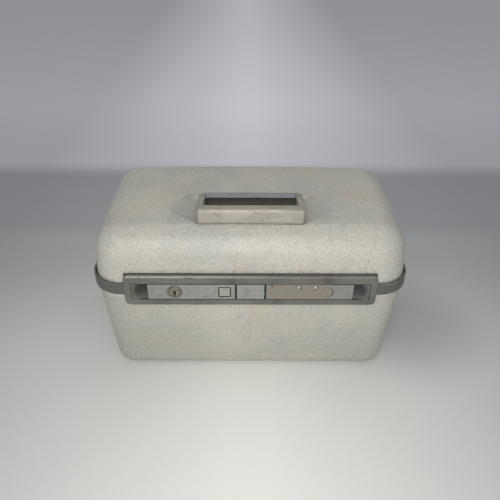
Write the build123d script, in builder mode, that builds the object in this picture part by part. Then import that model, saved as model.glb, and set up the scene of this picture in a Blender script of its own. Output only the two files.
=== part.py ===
from build123d import *
import os
from math import cos, radians, sin, sqrt, tan

# Cosmetic train case. Millimetres. X runs along the case, the front faces -Y and Z is up.
# The origin is the middle of the footprint, level with the undersides of the feet.

# Case, measured over the lid frame
case_length = 343.0
case_depth = 195.0
corner_radius = 35.4
foot_height = 3.0
base_height = 114.4
lid_height = 73.7

# Moulded shells
shell_wall = 2.8
shell_gap = 0.4
base_draft = 4.7
base_edge_radius = 9.4
lid_draft = 5.0
shoulder_radius = 29.3
crown_rise = 2.8

# Metal frames at the parting line
frame_wall = 2.2
frame_height = 13.8
frame_edge_radius = 1.0
ledge_rise = 1.6
ledge_thickness = 2.0
tongue_height = 3.5
tongue_depth = 5.0
tongue_thickness = 1.0
cap_thickness = 1.1

# Clearances: between moving pieces, between seated pieces, and of a pin in its bore.
# A cut runs past the faces that it opens by cut_past.
moving_gap = 0.3
seat_gap = 0.1
running_gap = 0.05
cut_past = 1.0

# Front trim and latch housing
trim_from_side = 38.5
trim_proud = 3.0
trim_height = 8.2
trim_corner = 5.0
trim_edge_radius = 0.9
leg_width = 7.0
leg_gap = 0.6
parting_gap = 1.3
latch_height = 19.6
latch_drop = 4.3
rail_height = 7.0
housing_wall = 1.1
housing_top_gap = 0.975
pan_wall = 1.2
scoop_length = 17.3
scoop_depth = 6.0
scoop_roll = 20.0

# Latch levers, with the pin each turns on and the keeper each holds
plate_recess = 0.6
plate_thickness = 2.0
plate_gap = 2.0
plate_edge_radius = 0.4
plate_heel = 1.0
centre_length = 29.0
pin_inset = 4.5
pin_setback = 2.6
latch_pin_radius = 1.2
barrel_radius = 2.2
lug_thickness = 1.6
latch_tongue_width = 12.0
latch_tongue_thickness = 2.4
keeper_from_lock = 20.0
keeper_thickness = 1.0
keeper_width = 18.0
keeper_window = 5.0
keeper_window_side = 1.0
keeper_flange = 3.5
keeper_swing_gap = 0.9
spring_wire = 0.5
spring_turns = 4
spring_pitch = 0.95

# Lock and initial frame on the left lever, studs and pressed ring on the right lever
lock_from_end = 28.4
lock_radius = 5.0
lock_sleeve = 1.0
bezel_width = 2.5
bezel_round = 0.36
lock_barrel = 4.0
cam_length = 8.0
cam_width = 5.0
cam_thickness = 1.0
cam_hook_thickness = 0.7
cam_hook_lip = 1.2
keyhole_radius = 1.1
keyhole_slot = 1.0
keyhole_length = 3.6
keyhole_depth = 2.5
tile_from_centre = 27.4
tile_size = 18.0
tile_inner = 13.2
tile_seat = 0.9
pressed_ring_inset = 0.8
pressed_ring_width = 0.8
pressed_ring_depth = 0.3
studs_from_ring = (29.0, 11.8)
stud_radius = 1.8
stud_round = 0.48
stud_shank = 1.0
stud_rise = 6.3

# Handle and its recess in the lid
handle_rear = -13.0
handle_reach = 54.7
handle_length = 116.2
handle_draw_in = 2.6
arm_width = 7.7
arm_gap = 0.4
arm_end_radius = 4.0
pivot_drop = 3.3
grip_depth = 12.2
grip_height = 19.0
grip_rise = 12.4
grip_radius = 3.4
handle_pin_radius = 2.0
handle_pin_short = 1.0
recess_depth = 14.0
recess_tip = 86.0
recess_rear_half = 66.0
recess_front_half = 56.0
recess_margin = 1.6
recess_tip_drop = 1.6
recess_run_out = 9.0
recess_corner = 12.0
recess_draft = 4.0
recess_blend = 5.0
bracket_depth = 11.8
bracket_rise = 0.4
strip_thickness = 1.2
strip_edge = 0.5
opening_corner = 6.0
opening_edge = 1.2
handle_end_radius = 2.5

# Rear hinges
hinge_length = 48.0
hinge_from_side = 76.5
hinge_knuckles = 5
knuckle_radius = 2.4
knuckle_notch_gap = 0.5
hinge_pin_radius = 1.2
leaf_thickness = 1.2
lid_leaf_height = 13.0
base_leaf_height = 23.0
hinge_rivet_drop = 7.0

# Lid stay: a slotted arm beside the left wall
lid_opening = 95.0
stay_radius = 55.0
stay_half_angle = 12.0
stay_width = 9.0
stay_thickness = 1.2
stay_slot = 4.0
stay_from_side = 15.3
stay_end = 1.5
stay_pad_radius = 6.0
stay_head_radius = 3.4
stay_head = 0.8

# Linings, mirror, tray and pocket
lining = 0.8
lining_gap = 0.3
lid_lining_rise = 8.1
panel_height = 50.6
panel_thickness = 2.4
mirror_length = 232.0
mirror_depth = 108.0
mirror_thickness = 2.0
mirror_corner = 6.0
mirror_rim = 3.0
mirror_lip = 0.6
tray_from_side = 19.0
tray_from_front = 14.5
tray_height = 33.0
tray_wall = 1.8
tray_corner = 22.0
tray_edge = 1.5
tray_divider = 70.0
tray_above_base = 3.6
tray_notch_radius = 14.0
rest_width = 6.0
rest_thickness = 3.4
rest_from_side = 41.5
pocket_from_side = 53.5
pocket_foot = 14.0
pocket_height = 58.0
pocket_bulge = 15.0
pocket_belly = 17.4
pocket_mouth = 10.0
pocket_cloth = 1.6
elastic_height = 7.0
elastic_thickness = 2.0

# Small hardware
foot_radius = 6.5
foot_from_side = 36.0
foot_from_end = 38.0
rivet_radius = 1.5
rivet_head = 3.0
rivet_head_height = 0.9
rivet_round = 0.63
housing_rivet_length = 5.0
housing_rivet_head = 0.7
housing_rivet_from_centre = 40.0
housing_rivet_from_end = 14.0
keeper_rivet_spacing = 12.0
keeper_rivet_radius = 1.0
keeper_rivet_length = 4.0
keeper_rivet_head = 1.7
keeper_rivet_head_height = 0.5
screw_radius = 1.8
screw_head = 3.6
screw_head_height = 1.2
screw_sink = 0.7
screw_from_centre = 30.0

# Levels and stations that follow from the sizes above
half_length = case_length / 2
half_depth = case_depth / 2
trim_length = case_length - 2 * trim_from_side
hinge_from_centre = half_length - hinge_from_side
tray_length = case_length - 2 * tray_from_side
tray_depth = case_depth - 2 * tray_from_front
rest_length = case_length - 2 * rest_from_side
pocket_length = case_length - 2 * pocket_from_side
parting_z = foot_height + base_height
lid_top = parting_z + lid_height
frame_top = parting_z + frame_height
shell_inset = frame_wall + shell_gap
inner_inset = shell_inset + shell_wall
tongue_inset = inner_inset + seat_gap
lining_inset = tongue_inset + tongue_thickness + lining_gap
lining_inner = lining_inset + lining
ledge_z = parting_z + ledge_rise
shell_foot = ledge_z + ledge_thickness + seat_gap
face_y = -(half_depth + trim_proud)
shell_front_y = -(half_depth - shell_inset)
back_front_y = -(half_depth - inner_inset)
back_rear_y = back_front_y + housing_wall
trim_back_y = back_front_y - 2 * seat_gap
latch_z0 = parting_z - latch_drop
latch_z1 = latch_z0 + latch_height
latch_mid = (latch_z0 + latch_z1) / 2
trim_z0 = latch_z1 + parting_gap
trim_z1 = trim_z0 + trim_height
rail_z1 = latch_z0 - moving_gap
rail_z0 = rail_z1 - rail_height
rail_mid = (rail_z0 + rail_z1) / 2
opening_half = trim_length / 2 - leg_width
housing_half = opening_half - leg_gap
housing_top = trim_z0 - housing_top_gap
shelf_z1 = parting_z + cap_thickness + seat_gap
plate_y = face_y + plate_recess
plate_back_y = plate_y + plate_thickness
lever_inner = centre_length / 2 + plate_gap
lever_outer = opening_half - scoop_length - moving_gap
pin_x = lever_inner + pin_inset
pin_y = plate_back_y + pin_setback
pin_z0 = parting_z + seat_gap
lug_z1 = latch_z1 - seat_gap
lug_z0 = lug_z1 - lug_thickness
spring_z0 = shelf_z1 + moving_gap + spring_wire / 2
barrel_z0 = spring_z0 + spring_turns * spring_pitch + spring_wire / 2 + moving_gap
keeper_y1 = back_front_y - keeper_swing_gap
keeper_y0 = keeper_y1 - keeper_thickness
ring_x = lever_outer - lock_from_end
keeper_x = ring_x - keeper_from_lock
keeper_rivet_y = keeper_y0 - keeper_flange / 2
keeper_rivets_x = [side * keeper_x + shift * keeper_rivet_spacing / 2
                   for side in (-1, 1) for shift in (-1, 1)]
housing_rivets_x = [side * place for side in (-1, 1)
                    for place in (housing_rivet_from_centre, opening_half - housing_rivet_from_end)]
studs_x = [ring_x - place for place in studs_from_ring]
rivet_seat_y = back_front_y + (parting_z - rail_mid + rivet_head) * tan(radians(base_draft))
lock_x = -ring_x
tile_x = -tile_from_centre
hinge_y = half_depth + trim_proud - knuckle_radius
hinge_z = parting_z
pivot_z = lid_top - pivot_drop
arm_inner = handle_length / 2 - arm_width
bracket_half = arm_inner - arm_gap
bracket_top = lid_top + bracket_rise
grip_front = handle_rear - handle_reach
grip_back = grip_front + grip_depth
grip_top = lid_top + grip_rise
recess_front = grip_front - recess_margin
recess_rear = handle_rear + bracket_depth / 2 + recess_margin
recess_mid = (recess_front + recess_rear) / 2
recess_climb = recess_depth - recess_tip_drop
floor_arc = (recess_tip**2 + recess_climb**2) / (2 * recess_climb)
strip_top = bracket_top
bracket_z1 = strip_top - strip_thickness
cam_y0 = plate_y + lock_barrel - lock_sleeve + seat_gap
stay_y = hinge_y - stay_radius * cos(radians(stay_half_angle))
stay_pivot_z = hinge_z + stay_radius * sin(radians(stay_half_angle))
stay_stud_z = hinge_z - stay_radius * sin(radians(stay_half_angle))
stay_closed = stay_pivot_z - stay_stud_z
stay_open = 2 * stay_radius * sin(radians(stay_half_angle + lid_opening / 2))
stay_x = -(half_length - stay_from_side)
panel_z = parting_z + panel_height
tray_z0 = parting_z + tray_above_base - tray_height
lid_rivet_z = hinge_z + lid_leaf_height - rivet_head - leaf_thickness
base_rivet_z = hinge_z - base_leaf_height + hinge_rivet_drop
hinge_rivets_x = [side * hinge_from_centre + shift * hinge_length / 3
                  for side in (-1, 1) for shift in (-1, 0, 1)]
foot_places = [(side * (half_length - foot_from_end), end * (half_depth - foot_from_side))
               for side in (-1, 1) for end in (-1, 1)]


def block(x0, x1, y0, y1, z0, z1, mode=Mode.ADD):
    with Locations(((x0 + x1) / 2, (y0 + y1) / 2, (z0 + z1) / 2)):
        Box(abs(x1 - x0), abs(y1 - y0), abs(z1 - z0), mode=mode)


def rod(start, direction, radius, length, mode=Mode.ADD):
    with Locations(Plane(origin=start, z_dir=direction)):
        Cylinder(radius, length, align=(Align.CENTER, Align.CENTER, Align.MIN), mode=mode)


def ring(outer, inner, low, high):
    with BuildSketch(Plane.XY.offset(low)) as plan:
        RectangleRounded(case_length - 2 * outer, case_depth - 2 * outer, corner_radius - outer)
        RectangleRounded(case_length - 2 * inner, case_depth - 2 * inner, corner_radius - inner,
                         mode=Mode.SUBTRACT)
    extrude(plan.sketch, amount=high - low)


def arc_radius(half_chord, rise):
    return (half_chord**2 + rise**2) / (2 * rise)


def base_form(inset, floor):
    # the base as a solid, drawn in towards its floor, with a rounded bottom edge
    with BuildPart() as form:
        with BuildSketch(Plane.XY.offset(parting_z)):
            RectangleRounded(case_length - 2 * inset, case_depth - 2 * inset, corner_radius - inset)
        extrude(amount=floor - parting_z, taper=base_draft)
        bottom = form.faces().sort_by(Axis.Z)[0]
        fillet(bottom.edges(), base_edge_radius - (inset - shell_inset))
    return form.part


def lid_form(inset, foot):
    # the lid as a solid, drawn in towards its top, with round shoulders and a low crown
    top = lid_top - (inset - shell_inset)
    long_arc = arc_radius(half_length - shoulder_radius, crown_rise)
    cross_arc = arc_radius(half_depth - shoulder_radius, crown_rise)
    drop = long_arc - sqrt(long_arc**2 - half_length**2)
    end = cross_arc - drop
    with BuildPart() as crown:
        with BuildSketch(Plane.XY.offset(top - cross_arc)):
            with BuildLine():
                ThreePointArc((-half_length, end), (0, cross_arc), (half_length, end))
                Polyline((half_length, end), (half_length, 0), (-half_length, 0),
                         (-half_length, end))
            make_face()
        revolve(axis=Axis((0, 0, top - cross_arc), (1, 0, 0)), revolution_arc=180)
    with BuildPart() as form:
        with BuildSketch(Plane.XY.offset(foot)):
            RectangleRounded(case_length - 2 * inset, case_depth - 2 * inset, corner_radius - inset)
        extrude(amount=lid_top + crown_rise - foot, taper=lid_draft)
        add(crown.part, mode=Mode.INTERSECT)
        crest = form.faces().sort_by(Axis.Z)[-1]
        fillet(crest.edges(), shoulder_radius - (inset - shell_inset))
    return form.part


def recess_form(grow):
    # the boat-shaped hollow for the handle: steep walls and a round floor that rises to both tips
    clear = 2 * crown_rise
    lean = (clear + crown_rise) * tan(radians(recess_draft))
    front = recess_front - grow - lean
    rear = recess_rear + grow + lean
    front_half = recess_front_half + grow
    rear_half = recess_rear_half + grow
    tip = recess_tip + recess_run_out + grow
    with BuildPart() as form:
        with BuildSketch(Plane.XY.offset(lid_top + clear)) as plan:
            with BuildLine():
                Polyline((-front_half, front), (front_half, front), (tip, recess_mid),
                         (rear_half, rear), (-rear_half, rear), (-tip, recess_mid),
                         (-front_half, front))
            make_face()
            fillet(plan.vertices(), recess_corner)
        extrude(amount=-(recess_depth + clear + grow + recess_blend), taper=recess_draft)
        with Locations(Location((0, recess_mid, lid_top - recess_depth + floor_arc), (90, 0, 0))):
            Cylinder(floor_arc + grow, case_depth, mode=Mode.INTERSECT)
        floor = form.faces().filter_by(GeomType.CYLINDER).sort_by(SortBy.AREA)[-1]
        fillet(floor.edges(), recess_blend)
    return form.part


def recess_floor(x, grow):
    # level of the recess floor, or of its back at the wall's thickness, at a place along the case
    return lid_top - recess_depth + floor_arc - sqrt((floor_arc + grow)**2 - x**2)


def base_rear(z):
    # outer face of the base shell at the rear, drawn in towards the floor
    return half_depth - shell_inset - (parting_z - z) * tan(radians(base_draft))


# Lid shell: one moulding with the handle recess in its top and a notch for the front trim
lid_outer = lid_form(shell_inset, shell_foot)
recess = recess_form(0)
with BuildPart() as lid_cavity:
    add(lid_form(inner_inset, shell_foot))
    add(recess_form(shell_wall), mode=Mode.SUBTRACT)
with BuildPart() as lid_shell:
    add(lid_outer)
    add(recess, mode=Mode.SUBTRACT)
    add(lid_cavity.part, mode=Mode.SUBTRACT)
    notch = trim_length / 2 + moving_gap
    block(-notch, notch, face_y, back_rear_y + shell_wall, shell_foot, trim_z1 + moving_gap,
          mode=Mode.SUBTRACT)
    for side in (-1, 1):
        rod((side * screw_from_centre, handle_rear, lid_top - 2 * recess_depth), (0, 0, 1),
            screw_radius + running_gap, 2 * recess_depth, mode=Mode.SUBTRACT)

# Base shell: one moulding, drawn in towards the floor
base_outer = base_form(shell_inset, foot_height)
with BuildPart() as base_shell:
    add(base_outer)
    add(base_form(inner_inset, foot_height + shell_wall), mode=Mode.SUBTRACT)
    for x in housing_rivets_x:
        rod((x, back_rear_y + shell_wall, rail_mid), (0, -1, 0), rivet_radius + running_gap,
            3 * shell_wall, mode=Mode.SUBTRACT)
    for x in hinge_rivets_x:
        rod((x, base_rear(base_rivet_z) + shell_wall, base_rivet_z), (0, -1, 0),
            rivet_radius + running_gap, 3 * shell_wall, mode=Mode.SUBTRACT)
    for x, y in foot_places:
        rod((x, y, 0), (0, 0, 1), rivet_radius + running_gap, 3 * shell_wall, mode=Mode.SUBTRACT)

# Lid frame: the metal band round the lid with its inner ledge, and the trim bridge over the latches
with BuildPart() as lid_frame:
    ring(0, frame_wall, parting_z + seat_gap, frame_top)
    crest = lid_frame.faces().sort_by(Axis.Z)[-1]
    fillet(crest.outer_wire().edges(), frame_edge_radius)
    ring(frame_wall, inner_inset - 2 * seat_gap, ledge_z, ledge_z + ledge_thickness)
    block(-opening_half, opening_half, face_y, back_rear_y, parting_z, trim_z0, mode=Mode.SUBTRACT)
    with BuildSketch(Plane.XZ.offset(-face_y)) as bridge:
        with Locations((0, (parting_z + seat_gap + trim_z1) / 2)):
            Rectangle(trim_length, trim_z1 - parting_z - seat_gap)
        fillet(bridge.vertices().group_by(Axis.Y)[-1], trim_corner)
        with Locations((0, (parting_z + trim_z0) / 2)):
            Rectangle(2 * opening_half, trim_z0 - parting_z, mode=Mode.SUBTRACT)
    extrude(amount=-(trim_proud + frame_wall))
    with BuildSketch(Plane.XZ.offset(-face_y)) as bar:
        with Locations((0, (trim_z0 + trim_z1) / 2)):
            Rectangle(trim_length, trim_height)
        fillet(bar.vertices().group_by(Axis.Y)[-1], trim_corner)
    extrude(amount=face_y - trim_back_y)
    face = lid_frame.faces().filter_by(Axis.Y).sort_by(Axis.Y)[0]
    fillet(face.edges().filter_by_position(Axis.Z, trim_z0 + cut_past, trim_z1), trim_edge_radius)
    for side in (-1, 1):
        reach = hinge_length / 2 + leg_gap
        block(side * hinge_from_centre - reach, side * hinge_from_centre + reach,
              half_depth - frame_wall - seat_gap, half_depth + cut_past, parting_z,
              hinge_z + knuckle_radius + knuckle_notch_gap, mode=Mode.SUBTRACT)
    for x in keeper_rivets_x:
        rod((x, keeper_rivet_y, trim_z0 - cut_past), (0, 0, 1), keeper_rivet_radius + running_gap,
            keeper_rivet_length + cut_past, mode=Mode.SUBTRACT)
    for x in hinge_rivets_x:
        rod((x, half_depth + cut_past, lid_rivet_z), (0, -1, 0), rivet_radius + running_gap,
            2 * frame_wall, mode=Mode.SUBTRACT)

# Base frame: a cap on the base shell's edge, the tongue that the lid closes over and a skirt
with BuildPart() as base_frame:
    ring(frame_wall + 2 * moving_gap, tongue_inset + tongue_thickness, parting_z + seat_gap / 2,
         parting_z + cap_thickness)
    ring(tongue_inset, tongue_inset + tongue_thickness, parting_z, parting_z + tongue_height)
    for inset, mode in ((tongue_inset, Mode.ADD), (tongue_inset + tongue_thickness, Mode.SUBTRACT)):
        with BuildSketch(Plane.XY.offset(parting_z)) as skirt:
            RectangleRounded(case_length - 2 * inset, case_depth - 2 * inset, corner_radius - inset)
        extrude(skirt.sketch, amount=-tongue_depth, taper=base_draft, mode=mode)
    rod((-half_length, stay_y, stay_stud_z), (1, 0, 0), stay_pad_radius + moving_gap,
        2 * stay_from_side, mode=Mode.SUBTRACT)
    gap_half = housing_half + 2 * seat_gap
    block(-gap_half, gap_half, face_y, back_rear_y + cut_past, parting_z - tongue_depth,
          parting_z + tongue_height, mode=Mode.SUBTRACT)

# Latch housing: lower rail, pan behind the levers, finger scoops and the seats of the latch pins
scoop_sunk = scoop_roll - scoop_depth
scoop_reach = scoop_length / sqrt(1 - (scoop_sunk / scoop_roll)**2)
with BuildPart() as scoop:
    with BuildSketch(Plane.XY):
        Ellipse(scoop_reach, scoop_roll)
        with Locations((0, -scoop_roll)):
            Rectangle(4 * scoop_reach, 2 * scoop_roll, mode=Mode.SUBTRACT)
    revolve(axis=Axis.X)
    block(-scoop_reach, scoop_reach, 0, scoop_roll, rail_z1 - latch_mid, trim_z1 - latch_mid,
          mode=Mode.INTERSECT)
scoop_y = face_y - scoop_sunk
with BuildPart() as latch_housing:
    with BuildSketch(Plane.XZ.offset(-face_y)) as rail:
        with Locations((0, rail_mid)):
            Rectangle(trim_length, rail_height)
        fillet(rail.vertices().group_by(Axis.Y)[0], trim_corner)
    extrude(amount=face_y - back_front_y)
    lip = latch_housing.faces().filter_by(Axis.Y).sort_by(Axis.Y)[0]
    fillet(lip.edges().filter_by_position(Axis.Z, rail_z0, rail_z1 - seat_gap), trim_edge_radius)
    pan_y = shell_front_y - pan_wall
    block(-housing_half, housing_half, pan_y, back_front_y, rail_z1, parting_z)
    block(-housing_half, housing_half, pan_y, back_rear_y, parting_z + seat_gap / 2, shelf_z1)
    block(-housing_half, housing_half, back_front_y, back_rear_y, shelf_z1, housing_top)
    centre_half = centre_length / 2 - 2 * seat_gap
    block(-centre_half, centre_half, plate_back_y, back_front_y, rail_z1, housing_top)
    for side in (-1, 1):
        block(side * centre_half, side * pin_x, pan_y, shell_front_y, rail_z1, shelf_z1,
              mode=Mode.SUBTRACT)
        block(side * (lever_outer + moving_gap), side * housing_half, face_y + seat_gap,
              back_front_y, rail_z1, housing_top)
        block(side * opening_half, side * trim_length / 2, face_y + seat_gap, back_front_y,
              rail_z1, parting_z - moving_gap)
        block(side * pin_x - barrel_radius, side * pin_x + barrel_radius, pin_y, back_front_y,
              lug_z0, lug_z1)
        rod((side * pin_x, pin_y, lug_z0), (0, 0, 1), barrel_radius, lug_thickness)
        rod((side * pin_x, pin_y, rail_z1), (0, 0, 1), barrel_radius, shelf_z1 - rail_z1)
    hook_y = cam_y0 - moving_gap - cam_hook_thickness
    hook_x = lock_x - cam_width / 2
    block(hook_x, hook_x + cam_width, hook_y, back_front_y, latch_z1 - cam_hook_lip, latch_z1)
    block(hook_x, hook_x + cam_width, hook_y, hook_y + cam_hook_thickness,
          latch_mid + lock_radius + 2 * moving_gap, latch_z1)
    add(base_outer, mode=Mode.SUBTRACT)
    for side in (-1, 1):
        add(scoop.part.moved(Location((side * lever_outer, scoop_y, latch_mid))),
            mode=Mode.SUBTRACT)
        rod((side * pin_x, pin_y, pin_z0), (0, 0, 1), latch_pin_radius, latch_height,
            mode=Mode.SUBTRACT)
    for x in housing_rivets_x:
        rod((x, back_rear_y, rail_mid), (0, -1, 0), rivet_radius + running_gap,
            housing_rivet_length + housing_wall, mode=Mode.SUBTRACT)

# Rivets that hold the housing, headed inside the base shell
with BuildPart() as housing_rivets:
    for x in housing_rivets_x:
        rod((x, rivet_seat_y + seat_gap / 2, rail_mid), (0, -1, 0), rivet_radius,
            housing_rivet_length)
        rod((x, rivet_seat_y + seat_gap / 2, rail_mid), (0, 1, 0), rivet_head, housing_rivet_head)

# Centre plate between the levers
with BuildPart() as centre_plate:
    block(-centre_length / 2, centre_length / 2, plate_y, plate_back_y, latch_z0, latch_z1)
    fillet(centre_plate.faces().sort_by(Axis.Y)[0].edges(), plate_edge_radius)


def lever_blank(side):
    # a latch lever: face plate, hinge barrel at its inner end and a tongue behind its middle
    x = side * pin_x
    middle = side * keeper_x
    tip = keeper_y0 - moving_gap
    half = latch_tongue_thickness / 2
    with BuildPart() as blank:
        block(side * lever_inner, side * lever_outer, plate_y, plate_back_y, latch_z0, latch_z1)
        fillet(blank.faces().sort_by(Axis.Y)[0].edges(), plate_edge_radius)
        outward = Axis((0, 0, 0), (side, 0, 0))
        inner_edge = blank.edges().filter_by(Axis.Z).group_by(Axis.Y)[-1].sort_by(outward)[0]
        chamfer(inner_edge, plate_heel)
        rod((x, pin_y, barrel_z0), (0, 0, 1), barrel_radius, lug_z0 - moving_gap - barrel_z0)
        block(x - barrel_radius, x + barrel_radius, plate_back_y, pin_y, barrel_z0,
              lug_z0 - moving_gap)
        with BuildSketch(Plane.YZ.offset(middle - latch_tongue_width / 2)):
            with BuildLine():
                Polyline((plate_back_y, latch_mid - half), (plate_back_y, latch_mid + half),
                         (tip - half, latch_mid + half), (tip, latch_mid), (tip, latch_mid - half),
                         (plate_back_y, latch_mid - half))
            make_face()
        extrude(amount=latch_tongue_width)
        rod((x, pin_y, latch_z0), (0, 0, 1), latch_pin_radius + running_gap, latch_height,
            mode=Mode.SUBTRACT)
    return blank.part


# Left lever with the seats of the lock and of the initial frame
with BuildPart() as left_latch_lever:
    add(lever_blank(-1))
    rod((lock_x, plate_back_y + cut_past, latch_mid), (0, -1, 0),
        lock_radius + lock_sleeve + seat_gap, plate_thickness + 2 * cut_past, mode=Mode.SUBTRACT)
    block(tile_x - tile_size / 2, tile_x + tile_size / 2, plate_y - cut_past, plate_y + tile_seat,
          latch_mid - tile_size / 2, latch_mid + tile_size / 2, mode=Mode.SUBTRACT)

# Right lever with its pressed ring, the mirror image of the lock's place
with BuildPart() as right_latch_lever:
    add(lever_blank(1))
    with BuildSketch(Plane.XZ.offset(-plate_y)):
        with Locations((ring_x, latch_mid)):
            ring_radius = lock_radius + bezel_width - pressed_ring_inset
            Circle(ring_radius)
            Circle(ring_radius - pressed_ring_width, mode=Mode.SUBTRACT)
    extrude(amount=-pressed_ring_depth, mode=Mode.SUBTRACT)
    for x in studs_x:
        rod((x, plate_back_y, latch_mid + stud_rise), (0, -1, 0), stud_shank + seat_gap / 2,
            plate_thickness + cut_past, mode=Mode.SUBTRACT)

# Two shiny studs on the right lever
with BuildPart() as latch_studs:
    for x in studs_x:
        rod((x, plate_back_y, latch_mid + stud_rise), (0, -1, 0), stud_shank, plate_thickness)
        rod((x, plate_y, latch_mid + stud_rise), (0, -1, 0), stud_radius, plate_recess)
    fillet(latch_studs.faces().filter_by(Axis.Y).group_by(Axis.Y)[0].edges(), stud_round)

# Pins that the levers turn on
with BuildPart() as latch_pins:
    for side in (-1, 1):
        rod((side * pin_x, pin_y, pin_z0), (0, 0, 1), latch_pin_radius, lug_z1 - pin_z0)

# Springs wound round the latch pins
with BuildPart() as latch_springs:
    for side in (-1, 1):
        coil_radius = latch_pin_radius + seat_gap + spring_wire / 2
        with BuildLine() as winding:
            Helix(spring_pitch, spring_turns * spring_pitch, coil_radius,
                  center=(side * pin_x, pin_y, spring_z0))
        with BuildSketch(Plane(origin=winding.line @ 0, z_dir=winding.line % 0)):
            Circle(spring_wire / 2)
        sweep(is_frenet=True)
print(f"latch springs: least gap between turns {spring_pitch - spring_wire:.2f} mm")

# Keepers: strike plates with a window, hung under the bridge of the lid frame
with BuildPart() as latch_keepers:
    for side in (-1, 1):
        x = side * keeper_x
        half = keeper_width / 2
        hung_z = trim_z0 - seat_gap / 2
        window = latch_tongue_width / 2 + keeper_window_side
        block(x - half, x + half, keeper_y0, keeper_y1, shelf_z1 + 3 * moving_gap, hung_z)
        block(x - half, x + half, keeper_y0 - keeper_flange, keeper_y1, hung_z - keeper_thickness,
              hung_z)
        block(x - window, x + window, keeper_y0 - cut_past, keeper_y1 + cut_past,
              latch_mid - keeper_window / 2, latch_mid + keeper_window / 2, mode=Mode.SUBTRACT)
    for x in keeper_rivets_x:
        rod((x, keeper_rivet_y, trim_z0 - 2 * keeper_thickness), (0, 0, 1),
            keeper_rivet_radius + running_gap, 3 * keeper_thickness, mode=Mode.SUBTRACT)
with BuildPart() as keeper_rivets:
    for x in keeper_rivets_x:
        head_z = trim_z0 - seat_gap - keeper_thickness
        rod((x, keeper_rivet_y, head_z), (0, 0, 1), keeper_rivet_radius, keeper_rivet_length)
        rod((x, keeper_rivet_y, head_z), (0, 0, -1), keeper_rivet_head, keeper_rivet_head_height)

# Lock: bezel pressed in the left lever, cylinder with its keyhole, and the cam behind it
lock_front_y = plate_y - plate_recess
with BuildPart() as lock_bezel:
    rod((lock_x, plate_y, latch_mid), (0, -1, 0), lock_radius + bezel_width, plate_recess)
    fillet(lock_bezel.faces().sort_by(Axis.Y)[0].edges(), bezel_round)
    rod((lock_x, plate_back_y, latch_mid), (0, -1, 0), lock_radius + lock_sleeve, plate_thickness)
    rod((lock_x, plate_back_y, latch_mid), (0, -1, 0), lock_radius + running_gap,
        plate_thickness + plate_recess, mode=Mode.SUBTRACT)
with BuildPart() as lock_cylinder:
    rod((lock_x, lock_front_y + 2 * seat_gap, latch_mid), (0, 1, 0), lock_radius,
        cam_y0 - lock_front_y - 2 * seat_gap)
    rod((lock_x, lock_front_y, latch_mid), (0, 1, 0), keyhole_radius, keyhole_depth,
        mode=Mode.SUBTRACT)
    block(lock_x - keyhole_slot / 2, lock_x + keyhole_slot / 2, lock_front_y,
          lock_front_y + keyhole_depth, latch_mid - keyhole_length, latch_mid, mode=Mode.SUBTRACT)
with BuildPart() as lock_cam:
    block(lock_x - cam_length, lock_x, cam_y0, cam_y0 + cam_thickness,
          latch_mid - cam_width / 2, latch_mid + cam_width / 2)
    rod((lock_x, cam_y0, latch_mid), (0, 1, 0), cam_width / 2, cam_thickness)

# Initial frame and the bare tile in it
with BuildPart() as initial_frame:
    with BuildSketch(Plane.XZ.offset(-(plate_y + tile_seat))):
        with Locations((tile_x, latch_mid)):
            Rectangle(tile_size - 2 * seat_gap, tile_size - 2 * seat_gap)
            Rectangle(tile_inner, tile_inner, mode=Mode.SUBTRACT)
    extrude(amount=tile_seat + plate_recess / 2)
    fillet(initial_frame.faces().sort_by(Axis.Y)[0].edges(), plate_recess / 2)
with BuildPart() as initial_tile:
    reach = tile_inner / 2 - seat_gap / 2
    block(tile_x - reach, tile_x + reach, plate_y, plate_y + tile_seat, latch_mid - reach,
          latch_mid + reach)

# Handle: a bail with a thick grip in front and two arms back to its pins
with BuildPart() as handle_grip:
    with BuildSketch(Plane.YZ.offset(-handle_length / 2)):
        with Locations((handle_rear, pivot_z)):
            Circle(arm_end_radius)
        with Locations(((grip_front + grip_back) / 2, grip_top - grip_height / 2)):
            RectangleRounded(grip_depth, grip_height, grip_radius)
        make_hull()
    extrude(amount=handle_length)
    front_half = handle_length / 2 - handle_draw_in
    with BuildSketch(Plane.XY.offset(lid_top - recess_depth)) as plan:
        with BuildLine():
            Polyline((-front_half, grip_front), (front_half, grip_front),
                     (handle_length / 2, handle_rear + arm_end_radius),
                     (-handle_length / 2, handle_rear + arm_end_radius), (-front_half, grip_front))
        make_face()
    extrude(plan.sketch, amount=2 * grip_height, mode=Mode.INTERSECT)
    across = handle_grip.faces().sort_by(Axis.X)
    fillet(across[0].edges() + across[-1].edges(), handle_end_radius)
    with BuildSketch(Plane.XY.offset(lid_top - recess_depth)) as hollow:
        with BuildLine():
            Polyline((-arm_inner, grip_back), (arm_inner, grip_back), (arm_inner, 0),
                     (-arm_inner, 0), (-arm_inner, grip_back))
        make_face()
        fillet(hollow.vertices().group_by(Axis.Y)[0], opening_corner)
    extrude(hollow.sketch, amount=2 * grip_height, mode=Mode.SUBTRACT)
    rim = handle_grip.edges().filter_by_position(Axis.Z, lid_top, grip_top)
    fillet(rim.filter_by_position(Axis.X, -arm_inner - seat_gap, arm_inner + seat_gap),
           opening_edge)
    rod((-handle_length, handle_rear, pivot_z), (1, 0, 0), handle_pin_radius + running_gap,
        2 * handle_length, mode=Mode.SUBTRACT)

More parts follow.
